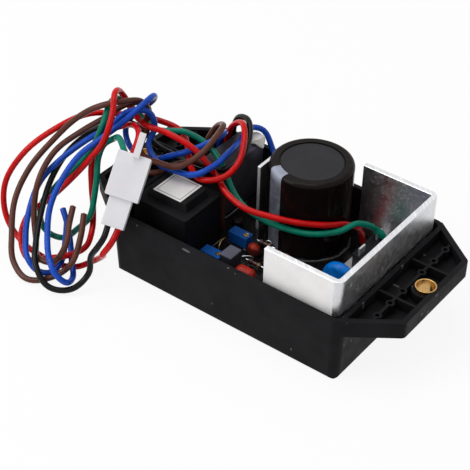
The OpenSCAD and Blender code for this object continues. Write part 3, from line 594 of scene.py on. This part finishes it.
def new_piece(name, data, finish):
    """An object that rides with the regulator and takes a slot's finish."""
    obj = add_object(name, data)
    data.materials.append(finish.material)
    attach(obj, BODY)
    return obj


def mesh_piece(name, verts, faces, finish):
    """A smooth mesh piece with its faces turned outwards."""
    mesh = bpy.data.meshes.new(name)
    mesh.from_pydata([tuple(v) for v in verts], [], faces)
    mesh.validate()
    build = bmesh.new()
    build.from_mesh(mesh)
    bmesh.ops.recalc_face_normals(build, faces=build.faces)
    build.to_mesh(mesh)
    build.free()
    mesh.polygons.foreach_set("use_smooth", [True] * len(mesh.polygons))
    return new_piece(name, mesh, finish)


def spoke(side, across, turn):
    """Direction at an angle between two axes."""
    return side * math.cos(turn) + across * math.sin(turn)


def loft(rings, sides, first):
    """Faces of a tube through rings of points that follow each other, and of its two ends."""
    faces = []
    for ring in range(rings - 1):
        for k in range(sides):
            a = first + ring * sides + k
            b = first + ring * sides + (k + 1) % sides
            faces.append((a, b, b + sides, a + sides))
    last = first + (rings - 1) * sides
    faces.append(tuple(range(first, first + sides)))
    faces.append(tuple(range(last, last + sides)))
    return faces


def handles(points):
    """Bezier handles before and after each point, in line and a third of the spacing long."""
    last = len(points) - 1
    pairs = []
    for i, point in enumerate(points):
        before = points[i - 1] if i > 0 else 2 * points[0] - points[1]
        after = points[i + 1] if i < last else 2 * points[last] - points[last - 1]
        back, ahead = (point - before).length, (after - point).length
        along = ((point - before) * ahead / back + (after - point) * back / ahead).normalized()
        pairs.append((point - along * back / 3, point + along * ahead / 3))
    return pairs


def tube_curve(name, points, diameter, finish, steps=6, sides=5):
    """Round cord on a smooth curve through its points, in metres."""
    curve = adjust(bpy.data.curves.new(name, "CURVE"), dimensions="3D", resolution_u=steps,
                   bevel_depth=diameter / 2, bevel_resolution=sides, use_fill_caps=True)
    spline = curve.splines.new("BEZIER")
    spline.bezier_points.add(len(points) - 1)
    for knot, point, (left, right) in zip(spline.bezier_points, points, handles(points)):
        adjust(knot, handle_left_type="FREE", handle_right_type="FREE", co=point,
               handle_left=left, handle_right=right)
    return new_piece(name, curve, finish)


# Pieces


class REGULATOR_OT_wires(Operator):
    """Lays the eight wires of the harness along their routes"""
    bl_idname = "regulator.wires"
    bl_label = "Wires"

    def execute(self, context):
        look = context.scene.regulator_wires
        finishes = {}
        for colour in ("red", "green", "blue", "brown", "black"):
            finishes[colour] = self.insulation(colour, getattr(look, colour))
        copper = bare_metal("copper_strands", look.copper, (0.25, 0.4), EVEN, 900.0)
        for name, route in WIRE_ROUTES.items():
            points = [Vector(p) * MM for p in route]
            colour = name.split("_")[0]
            slot = "pvc_" + colour
            wire = tube_curve("cord_" + name, points, look.diameter, finishes[colour])
            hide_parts("wire_" + name)
            if name in CONNECTED:
                pieces = [NODES["connector_shell"], NODES["connector_nose"]]
            else:
                ahead = (points[-1] - points[-2]).normalized()
                pieces = [self.strands(name, points[-1], ahead, look, slot, copper)]
        return {"FINISHED"}

    def insulation(self, colour, value):
        """Glossy insulation with a little dust."""
        finish = Finish("pvc_" + colour, Specular_IOR_Level=0.15)
        lint = finish.group(shared("lint"), Base=finish.drift(value, 0.14, 130.0),
                            Lint=scaled(value, 0.9, 0.02), Scale=420.0, Cover=0.05, Size=0.14)
        finish.set("Base Color", lint["Colour"])
        finish.set("Roughness", finish.smudge(0.14, 0.24, 160.0))
        finish.bump(finish.noise(700.0, 3.0), 0.03 * MM, 0.35)
        return finish

    def strands(self, name, end, ahead, look, slot, finish):
        """Seven cut strands that show in the end of a wire."""
        side = ahead.orthogonal().normalized()
        across = ahead.cross(side)
        radius = look.core / 6
        centres = [Vector((0, 0, 0))]
        for k in range(6):
            centres.append(spoke(side, across, math.pi * k / 3) * 2 * radius)
        verts, faces = [], []
        for n, centre in enumerate(centres):
            faces += loft(len(STRAND_RINGS), STRAND_SIDES, len(verts))
            reach = 1.0 + 0.25 * math.sin(2.4 * n)
            for along, size in STRAND_RINGS:
                for k in range(STRAND_SIDES):
                    out = spoke(side, across, 2 * math.pi * k / STRAND_SIDES) * radius * size
                    verts.append(end + centre + out + ahead * along * reach * MM)
        return mesh_piece("strands_" + name, verts, faces, finish)


class REGULATOR_OT_tray(Operator):
    """Finishes the tray, its bushes, the board and the resin"""
    bl_idname = "regulator.tray"
    bl_label = "Tray and resin"

    def execute(self, context):
        look = context.scene.regulator_tray
        metal = context.scene.regulator_metal
        dress("tray", self.tray_finish(look))
        dress("circuit_board", moulded("board_laminate", look.board, (0.3, 0.45), 900.0))
        dress("resin", self.resin_finish("potting_resin", look, 0.22, (0.1, 0.28)))
        brass = bare_metal("turned_brass", metal.brass, (0.16, 0.3), (4.0, 4.0, 60.0), 120.0)
        for node in ("bush_left", "bush_right"):
            dress(node, brass, BUSH_EDGE)
        self.menisci(look, self.resin_finish("climbed_resin", look, 0.55, (0.06, 0.14)))
        return {"FINISHED"}

    def tray_finish(self, look):
        """Dull moulded plastic with specks of lint."""
        finish = moulded("tray_plastic", look.plastic, (0.42, 0.58), grain=1300.0, depth=0.02,
                         gloss=0.05, drift=0.16)
        lint = finish.group(shared("lint"), Base=finish.base(), Lint=look.lint, Scale=260.0,
                            Cover=0.25, Size=0.085)
        finish.set("Base Color", lint["Colour"])
        return finish

    def resin_finish(self, name, look, gloss, rough):
        """Poured resin with slow waves."""
        finish = Finish(name, Specular_IOR_Level=gloss)
        finish.set("Base Color", finish.drift(look.resin, 0.25, 90.0))
        finish.set("Roughness", finish.smudge(*rough, 120.0))
        waves = finish.plus(finish.noise(60.0, 2.0), finish.noise(260.0, 3.0))
        finish.bump(waves, 0.35 * MM, 0.5)
        return finish

    def menisci(self, look, resin):
        """Resin that has climbed a little at the feet of the larger parts."""
        low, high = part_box("main_capacitor")
        middle = Vector(middle_of("main_capacitor")[:2])
        radius = (high[0] - low[0]) / 2
        sides = 96
        ring = [middle + Vector((math.cos(a), math.sin(a))) * radius
                for a in (2 * math.pi * k / sides for k in range(sides))]
        self.fillet("meniscus_main_capacitor", ring, look.climb * CAN_CLIMB, resin)
        for node, share in CLIMBED:
            low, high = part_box(node)
            corners = [(low[0], low[1]), (high[0], low[1]), (high[0], high[1]), (low[0], high[1])]
            outline = self.rounded([Vector(c) for c in corners])
            self.fillet("meniscus_" + node, outline, look.climb * share, resin)

    def rounded(self, corners):
        """Closed outline with short round corners and points along its sides."""
        outline = []
        short = 0.25 * MM
        for i, corner in enumerate(corners):
            before = (corners[i - 1] - corner).normalized()
            after_corner = corners[(i + 1) % len(corners)]
            after = (after_corner - corner).normalized()
            outline.append(corner + before * short)
            outline.append(corner + after * short)
            for k in range(1, 8):
                outline.append(corner.lerp(after_corner, k / 8))
        return outline

    def fillet(self, name, outline, size, finish):
        """Hollow fillet between an upright outline and the resin surface."""
        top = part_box("resin")[1][2]
        steps = 6
        clear = 0.02 * MM
        verts, faces = [], []
        count = len(outline)
        for i, point in enumerate(outline):
            along = (outline[(i + 1) % count] - outline[i - 1]).normalized()
            out = Vector((along.y, -along.x))
            reach = size * (1.0 + 0.35 * noise.noise(Vector((point.x, point.y, 0.0)) * 220))
            for k in range(steps + 1):
                turn = 0.5 * math.pi * k / steps
                away = reach * (1 - math.cos(turn)) + clear
                rise = reach * (1 - math.sin(turn)) + clear
                spot = point + out * away
                verts.append((spot.x, spot.y, top + rise))
        for i in range(count):
            for k in range(steps):
                a = i * (steps + 1) + k
                b = ((i + 1) % count) * (steps + 1) + k
                faces.append((a, b, b + 1, a + 1))
        mesh_piece(name, verts, faces, finish)


class REGULATOR_OT_metalwork(Operator):
    """Finishes the heat sinks, the rectifier and the screws"""
    bl_idname = "regulator.metalwork"
    bl_label = "Metalwork"

    def execute(self, context):
        look = context.scene.regulator_metal
        parts = context.scene.regulator_parts
        for node, sanding in (("heat_sink", 0.85), ("plate_sink", 0.3)):
            dress(node, self.sheet_finish(node, sanding, look), look.edge)
        steel = bare_metal("screw_steel", look.steel, (0.25, 0.4), EVEN, 500.0)
        for node in ("rectifier_screw", "transistor_screw"):
            dress(node, steel, SCREW_EDGE)
        blade_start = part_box("rectifier")[0][2] + BLADE_START
        low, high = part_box("transistor")

        def blades(finish):
            return finish.over(finish.axes()[2], blade_start)

        def tab_and_legs(finish):
            x, _, z = finish.axes()
            return finish.any_of(finish.over(x, high[0] - TAB_THICKNESS),
                                 finish.under(z, low[2] + LEG_LENGTH))

        dress("rectifier", self.two_finish("rectifier_epoxy", parts, look, blades))
        dress("transistor", self.two_finish("transistor_epoxy", parts, look, tab_and_legs),
              TRANSISTOR_EDGE)
        self.boot()
        return {"FINISHED"}

    def sheet_finish(self, node, sanding, look):
        """Bright sheet with fine slanting scratches, sanded dull on its front face."""
        low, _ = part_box(node)
        finish = Finish(node + "_aluminium")
        x, y, z = finish.axes()
        flat = finish.plus(x, y)
        scratches = []
        marks = ((1.0, 260.0, 1300.0, 0.57), (0.6, 420.0, 1900.0, 0.58))
        for lean, along, across, limit in marks:
            lift = finish.times(z, lean)
            spot = finish.feed(finish.add("ShaderNodeCombineXYZ"), {
                0: finish.times(finish.minus(flat, lift), across),
                1: finish.times(finish.plus(flat, lift), along)})
            mark = finish.noise(1.0, 2.0, spot[0])
            scratches.append(finish.span(mark, limit, limit + 0.1))
        scratch = finish.any_of(*scratches)
        dull = finish.under(y, low[1] + 0.05 * MM)
        sanded = finish.times(dull, sanding)
        worn = finish.plus(finish.smudge(0.3, 0.38, 260.0), finish.times(scratch, 0.12))
        finish.set("Roughness", finish.plus(worn, finish.times(dull, 0.12)))
        matt = finish.any_of(sanded, finish.times(scratch, 0.12))
        finish.set("Metallic", finish.minus(1.0, matt))
        bright = finish.drift(look.aluminium, 0.04, 90.0)
        chalk = finish.drift(look.sanded, 0.04, 160.0)
        pale = finish.mix(finish.times(scratch, 0.8), bright, look.sanded)
        finish.set("Base Color", finish.mix(sanded, pale, chalk))
        return finish

    def two_finish(self, name, parts, metal, bare):
        """Black epoxy with tinned metal where the mask says so."""
        finish = moulded(name, parts.epoxy, (0.4, 0.55), 1600.0)
        mask = bare(finish)
        finish.set("Base Color", finish.mix(mask, finish.base(), metal.tin))
        finish.set("Metallic", mask)
        return finish

    def boot(self):
        """Insulating boot over the joint of the green wire and the rectifier's blade."""
        first, second = (Vector(p) * MM for p in WIRE_ROUTES["green"][:2])
        foot = Vector((first.x, first.y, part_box("rectifier")[0][2] + BOOT_FOOT))
        ahead = (second - first).normalized()
        spine = [foot, first.lerp(foot, 0.45), first]
        spine += [first + ahead * reach * MM for reach in (2.2, 4.2)]
        verts = []
        for i, (spot, (wide, thick)) in enumerate(zip(spine, BOOT_WIDTHS)):
            before, after = spine[max(i - 1, 0)], spine[min(i + 1, len(spine) - 1)]
            axis = (after - before).normalized()
            side = Vector((1.0, 0.0, 0.0)) - axis * axis.x
            side.normalize()
            across = axis.cross(side)
            for k in range(BOOT_SIDES):
                turn = 2 * math.pi * k / BOOT_SIDES
                out = side * (wide * math.cos(turn) * MM)
                verts.append(spot + out + across * (thick * math.sin(turn) * MM))
        faces = loft(len(spine), BOOT_SIDES, 0)
        vinyl = Finish("boot_vinyl", Specular_IOR_Level=0.2)
        green = bpy.context.scene.regulator_wires.green
        vinyl.set("Base Color", vinyl.drift(green, 0.15, 200.0))
        vinyl.set("Roughness", vinyl.smudge(0.3, 0.45))
        vinyl.bump(vinyl.noise(500.0, 2.0), 0.03 * MM, 0.4)
        piece = mesh_piece("boot_green", verts, faces, vinyl)
        adjust(piece.modifiers.new("Round", "SUBSURF"), levels=2, render_levels=2)


class REGULATOR_OT_capacitor(Operator):
    """Finishes the main capacitor"""
    bl_idname = "regulator.capacitor"
    bl_label = "Main capacitor"

    def execute(self, context):
        look = context.scene.regulator_parts
        dress("main_capacitor", self.sleeve_finish(look))
        dress("capacitor_end_disc", self.disc_finish(look), DISC_EDGE)
        return {"FINISHED"}

    def disc_finish(self, look):
        """Card disc with a dark line where it meets the sleeve."""
        low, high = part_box("capacitor_end_disc")
        radius = (high[0] - low[0]) / 2
        disc = moulded("end_disc_card", look.disc, (0.5, 0.62), grain=2200.0, depth=0.01,
                       gloss=0.12, drift=0.06)
        squares = []
        for value, middle in zip(disc.axes()[:2], middle_of("capacitor_end_disc")):
            off = disc.minus(value, middle)
            squares.append(disc.times(off, off))
        reach = disc.math("POWER", disc.plus(*squares), 0.5)
        line = disc.span(reach, radius - 0.7 * MM, radius - 0.35 * MM)
        disc.set("Base Color", disc.mix(line, disc.base(), scaled(look.disc, 0.12)))
        return disc

    def sleeve_finish(self, look):
        """Shrunk sleeve with a printed polarity stripe, painted pale on its turned edge as a highlight
        and darker below as shade.
        """
        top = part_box("main_capacitor")[1][2]
        middle = middle_of("main_capacitor")
        finish = Finish("shrunk_sleeve", Specular_IOR_Level=0.08)
        x, y, z = finish.axes()
        angle = finish.math("ARCTAN2", finish.minus(y, middle[1]), finish.minus(x, middle[0]))
        away = finish.math("ABSOLUTE", finish.minus(angle, math.radians(STRIPE_AT)))
        printed = finish.under(away, math.radians(STRIPE_HALF))
        # The stripe below the bend: a third of its colour with mottling, as painted shade
        mottled_shaded_stripe = finish.drift(scaled(look.stripe, 0.35), 0.3, 240.0)
        # Mask of the top bend, where the stripe takes its full colour as a painted highlight
        turned = finish.span(z, top - 5 * MM, top - 1.5 * MM)
        stripe = finish.mix(turned, mottled_shaded_stripe, finish.drift(look.stripe, 0.12, 140.0))
        finish.set("Base Color", finish.mix(printed, finish.drift(look.sleeve, 0.2, 50.0), stripe))
        finish.set("Roughness", finish.smudge(0.1, 0.2, 70.0))
        near_top = finish.span(z, top - 6 * MM, top - 1 * MM)
        folds = finish.times(finish.noise(190.0, 2.0), near_top)
        skin = finish.times(finish.noise(90.0, 2.0), 0.35)
        finish.bump(finish.plus(folds, skin), 0.5 * MM, 0.45)
        return finish


class REGULATOR_OT_transformers(Operator):
    """Finishes the two transformer cases, the label and the glue"""
    bl_idname = "regulator.transformers"
    bl_label = "Transformers"

    def execute(self, context):
        look = context.scene.regulator_parts
        case = moulded("case_plastic", look.case, (0.36, 0.5), depth=0.015, gloss=0.08, drift=0.2)
        dress("front_transformer", case, CASE_EDGE)
        dress("rear_transformer", self.rear_finish(look), CASE_EDGE)
        dress("transformer_label", self.label_finish(look))
        self.glue(look)
        return {"FINISHED"}

    def rear_finish(self, look):
        """Plastic of the rear case, with a pale haze round the glue."""
        finish = moulded("rear_case_plastic", look.back_case, (0.4, 0.55), depth=0.015, gloss=0.1,
                         drift=0.2)
        away = finish.vector("DISTANCE", finish.place(), middle_of("glue_dab"))["Value"]
        haze = finish.span(away, HAZE_NEAR, HAZE_FAR, 0.6, 0.0)
        finish.set("Base Color", finish.mix(haze, finish.base(), look.haze))
        return finish

    def label_finish(self, look):
        """Plain paper with a thin frame line."""
        low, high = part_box("transformer_label")
        finish = Finish("label_paper", Roughness=0.55, Specular_IOR_Level=0.3)
        x, y, _ = finish.axes()
        edges = []
        for value, a, b in ((x, low[0], high[0]), (y, low[1], high[1])):
            edges.append(finish.minus(value, a))
            edges.append(finish.minus(b, value))
        nearest = edges[0]
        for edge in edges[1:]:
            nearest = finish.math("MINIMUM", nearest, edge)
        line = finish.all_of(finish.over(nearest, LINE_START), finish.under(nearest, LINE_END))
        paper = finish.drift(look.label, 0.05, 160.0)
        finish.set("Base Color", finish.mix(finish.times(line, 0.8), paper, LINE_INK))
        finish.bump(finish.noise(1500.0, 3.0), 0.01 * MM, 0.4)
        return finish

    def glue(self, look):
        """Soft uneven dab of glue on the corner of the rear case."""
        finish = Finish("hot_glue", Specular_IOR_Level=0.4, Subsurface_Weight=0.15,
                        Subsurface_Scale=1.5 * MM)
        finish.set("Base Color", finish.drift(look.glue, 0.06))
        finish.set("Roughness", finish.smudge(0.3, 0.5))
        finish.bump(finish.noise(500.0, 3.0), 0.06 * MM, 0.4)
        low, high = (Vector(v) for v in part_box("glue_dab"))
        high += Vector((GLUE_SPILL, GLUE_SPILL, 0.0))
        middle, size = (low + high) / 2, (high - low) / 2
        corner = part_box("rear_transformer")[1]
        build = bmesh.new()
        bmesh.ops.create_icosphere(build, subdivisions=5, radius=1.0)
        for vert in build.verts:
            p = vert.co.copy()
            p *= 1.0 + 0.2 * noise.noise(p * 1.6 + Vector((3.0, 1.0, 2.0)))
            flat = max(p.z, -0.85)
            spot = middle + Vector((p.x * size.x, p.y * size.y, (0.15 + flat) * size.z / 1.08))
            over = max(spot.x - corner[0], spot.y - corner[1], 0.0)
            spot.z -= 1.6 * over
            vert.co = spot
        mesh = bpy.data.meshes.new("glue_blob")
        build.to_mesh(mesh)
        build.free()
        mesh.polygons.foreach_set("use_smooth", [True] * len(mesh.polygons))
        blob = new_piece("glue_blob", mesh, finish)
        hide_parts("glue_dab")


class REGULATOR_OT_small_parts(Operator):
    """Finishes the trimmers and the small parts on the board"""
    bl_idname = "regulator.small_parts"
    bl_label = "Small parts"

    def execute(self, context):
        look = context.scene.regulator_parts
        metal = context.scene.regulator_metal
        blue = moulded("trimmer_blue", look.trimmer, (0.3, 0.45), grain=1800.0, depth=0.01,
                       gloss=0.18, drift=0.12)
        brass = bare_metal("screw_brass", metal.screw, (0.2, 0.34), EVEN, 700.0)
        for node in ("trimmer_1", "trimmer_2"):
            dress(node, blue, TRIMMER_EDGE)
            dress(node + "_screw", brass, ADJUSTER_EDGE)
        dress("film_capacitor", self.film_finish(look), CASE_EDGE)
        can = moulded("small_can_sleeve", look.sleeve, (0.25, 0.4), grain=900.0, depth=0.01, gloss=0.2)
        dress("small_can_capacitor", can)
        # Each dipped part with the share of its height where its painted shade starts to fade
        for node, colour, shade_height in (("orange_capacitor", look.orange, 0.7),
                                    ("red_capacitor", look.red, 0.15),
                                    ("varistor", look.blue, 0.15),
                                    ("ceramic_disc", look.brown, 0.15)):
            dress(node, self.dip_finish(node, colour, shade_height))
        for node in ("resistor_front", "resistor_side"):
            dress(node, self.axial_finish(node, look.tan, metal, RESISTOR_HALF, RESISTOR_BANDS))
        dress("diode", self.axial_finish("diode", look.epoxy, metal, DIODE_HALF, DIODE_BANDS))
        self.leads(metal)
        return {"FINISHED"}

    def leads(self, metal):
        """Bare leads that stand in the resin between the small parts."""
        finishes = {}
        for name, colour in (("tin", metal.tin), ("gold", metal.brass)):
            finishes[name] = bare_metal("lead_" + name, colour, (0.3, 0.45), EVEN, 600.0)
        for name, finish, route in LEADS:
            points = [Vector(p) * MM for p in route]
            tube_curve("lead_" + name, points, LEAD_DIAMETER, finishes[finish], 5, 3)

    def film_finish(self, look):
        """Box moulding with a paler top, its sides painted dark as shade."""
        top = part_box("film_capacitor")[1][2]
        finish = moulded("film_case", look.film, (0.35, 0.5), grain=1700.0, drift=0.1)
        # Painted shade: below the top the sides darken towards the black epoxy
        shaded_sides = finish.span(finish.axes()[2], top - 1.2 * MM, top - 0.2 * MM, 0.75, 0.0)
        finish.set("Base Color", finish.mix(shaded_sides, finish.base(), look.epoxy))
        return finish

    def dip_finish(self, node, colour, shade_height):
        """Glossy dipped coat, slightly uneven, painted darker towards its foot as shade."""
        finish = Finish("dip_" + node, Specular_IOR_Level=0.16, Coat_Weight=0.03, Coat_Roughness=0.1)
        low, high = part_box("resin")[1][2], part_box(node)[1][2]
        start = low + shade_height * (high - low)
        stop = low + (shade_height + 0.4) * (high - low)
        wander = finish.times(finish.noise(420.0, 2.0), 1.6 * MM)
        level = finish.plus(finish.axes()[2], wander)
        # Painted shade: the lower part of the coat darkens to the resin's colour
        painted_shade = finish.span(level, start, stop, 0.85, 0.0)
        resin = bpy.context.scene.regulator_tray.resin
        finish.set("Base Color", finish.mix(painted_shade, finish.drift(colour, 0.22, 260.0), resin))
        finish.set("Roughness", finish.smudge(0.2, 0.34, 200.0))
        finish.bump(finish.noise(420.0, 2.0), 0.12 * MM, 0.5)
        return finish

    def axial_finish(self, node, colour, metal, half, bands):
        """Coated body with colour bands between tinned legs."""
        finish = Finish("axial_" + node, Specular_IOR_Level=0.45)
        along = finish.minus(finish.axes()[0], middle_of(node)[0])
        leg = finish.over(finish.math("ABSOLUTE", along), half)
        base = finish.drift(colour, 0.12, 300.0)
        for at, paint in bands:
            off = finish.math("ABSOLUTE", finish.minus(along, at * MM))
            base = finish.mix(finish.under(off, BAND_HALF), base, paint)
        finish.set("Base Color", finish.mix(leg, base, metal.tin))
        finish.set("Metallic", leg)
        finish.set("Roughness", finish.smudge(0.28, 0.42, 300.0))
        return finish


class REGULATOR_OT_connector(Operator):
    """Finishes the nylon connector"""
    bl_idname = "regulator.connector"
    bl_label = "Connector"

    def execute(self, context):
        look = context.scene.regulator_connector
        nylon = moulded("nylon", look.nylon, (0.36, 0.5), grain=1100.0, gloss=0.4, drift=0.03)
        nylon.set("Subsurface Weight", 0.12)
        nylon.set("Subsurface Scale", 1.2 * MM)
        for node in ("connector_shell", "connector_nose"):
            dress(node, nylon, look.edge)
        return {"FINISHED"}


class REGULATOR_OT_stage(Operator):
    """Sets the camera, the lamps and the floor"""
    bl_idname = "regulator.stage"
    bl_label = "Stage"

    def execute(self, context):
        look = context.scene.regulator_stage
        scene = context.scene
        scene.view_settings.view_transform = "Standard"
        self.camera(scene, look)
        self.world(scene, look)
        self.floor(look)
        self.lamp("key_lamp", *KEY_LAMP, look.key)
        self.lamp("top_lamp", *TOP_LAMP, look.top)
        return {"FINISHED"}

    def camera(self, scene, look):
        """Camera at the photograph's viewing angle."""
        azimuth, elevation, roll = (math.radians(v) for v in CAMERA_ANGLES)
        ahead = Vector((-math.sin(azimuth) * math.cos(elevation),
                        math.cos(azimuth) * math.cos(elevation), -math.sin(elevation)))
        level = Vector((math.cos(azimuth), math.sin(azimuth), 0.0))
        upright = level.cross(ahead)
        right = math.cos(roll) * level + math.sin(roll) * upright
        up = math.cos(roll) * upright - math.sin(roll) * level
        data = adjust(bpy.data.cameras.new("photo_camera"), sensor_width=SENSOR_WIDTH,
                      lens=look.lens, clip_start=0.01)
        camera = add_object("photo_camera", data)
        axes = Matrix((right, up, -ahead)).transposed().to_4x4()
        camera.matrix_world = Matrix.Translation(CAMERA_PLACE) @ axes
        scene.camera = camera

    def seen_white(self, build):
        """Mask of the rays that show the white background."""
        path = build.add("ShaderNodeLightPath").outputs
        return build.any_of(path["Is Camera Ray"], path["Is Glossy Ray"], path["Is Transmission Ray"])

    def blend(self, build, kind, share, hidden, shown):
        """Joins two shaders, and the result to a new output."""
        both = build.feed(build.add("ShaderNodeMixShader"), {0: share, 1: hidden[0], 2: shown[0]})
        build.feed(build.add(kind), {"Surface": both[0]})

    def world(self, scene, look):
        """White surroundings that light the object less than they show."""
        world = bpy.data.worlds.new("studio")
        world.use_nodes = True
        build = NodeTree(world.node_tree)
        build.tree.nodes.clear()
        seen, lit = (build.feed(build.add("ShaderNodeBackground"), {"Color": WHITE, "Strength": power})
                     for power in (1.0, look.ambient))
        self.blend(build, "ShaderNodeOutputWorld", self.seen_white(build), lit, seen)
        scene.world = world

    def floor(self, look):
        """Pale floor that shows white and takes a light shadow."""
        mesh = bpy.data.meshes.new("floor")
        turns = ((-1, -1), (1, -1), (1, 1), (-1, 1))
        corners = [(x * FLOOR_HALF, y * FLOOR_HALF, -FLOOR_DROP) for x, y in turns]
        mesh.from_pydata(corners, [], [(0, 1, 2, 3)])
        obj = add_object("floor", mesh)
        material = bpy.data.materials.new("studio_floor")
        material.use_nodes = True
        build = NodeTree(material.node_tree)
        build.tree.nodes.clear()
        matte = build.feed(build.add("ShaderNodeBsdfDiffuse"), {"Color": FLOOR_COLOUR})
        white = build.feed(build.add("ShaderNodeEmission"), {"Color": WHITE})
        share = build.times(self.seen_white(build), 1.0 - look.shadow)
        self.blend(build, "ShaderNodeOutputMaterial", share, matte, white)
        mesh.materials.append(material)

    def lamp(self, name, place, size, power):
        """Round soft lamp that points at the origin."""
        data = adjust(bpy.data.lights.new(name, "AREA"), shape="DISK", size=size, energy=power)
        aim = (-Vector(place)).to_track_quat("-Z", "Y")
        add_object(name, data).matrix_world = Matrix.Translation(place) @ aim.to_matrix().to_4x4()


class REGULATOR_PT_sidebar(Panel):
    """Lists the pieces and their settings"""
    bl_label = "Voltage regulator"
    bl_idname = "REGULATOR_PT_sidebar"
    bl_space_type = "VIEW_3D"
    bl_region_type = "UI"
    bl_category = "Regulator"

    def draw(self, context):
        for operator in OPERATORS:
            self.layout.operator(operator.bl_idname)
        for name, group in SETTINGS:
            box = self.layout.box()
            settings = getattr(context.scene, name)
            for key in group.__annotations__:
                box.prop(settings, key)


SETTINGS = (
    ("regulator_wires", WireSettings),
    ("regulator_tray", TraySettings),
    ("regulator_metal", MetalSettings),
    ("regulator_parts", PartSettings),
    ("regulator_connector", ConnectorSettings),
    ("regulator_stage", StageSettings),
)
OPERATORS = (
    REGULATOR_OT_wires,
    REGULATOR_OT_tray,
    REGULATOR_OT_metalwork,
    REGULATOR_OT_capacitor,
    REGULATOR_OT_transformers,
    REGULATOR_OT_small_parts,
    REGULATOR_OT_connector,
    REGULATOR_OT_stage,
)


def register():
    for name, group in SETTINGS:
        bpy.utils.register_class(group)
        setattr(bpy.types.Scene, name, PointerProperty(type=group))
    for operator in OPERATORS:
        bpy.utils.register_class(operator)
    bpy.utils.register_class(REGULATOR_PT_sidebar)


def unregister():
    bpy.utils.unregister_class(REGULATOR_PT_sidebar)
    for operator in reversed(OPERATORS):
        bpy.utils.unregister_class(operator)
    for name, group in reversed(SETTINGS):
        delattr(bpy.types.Scene, name)
        bpy.utils.unregister_class(group)


def main():
    register()
    for operator in OPERATORS:
        family, name = operator.bl_idname.split(".")
        getattr(getattr(bpy.ops, family), name)()


if __name__ == "__main__":
    main()
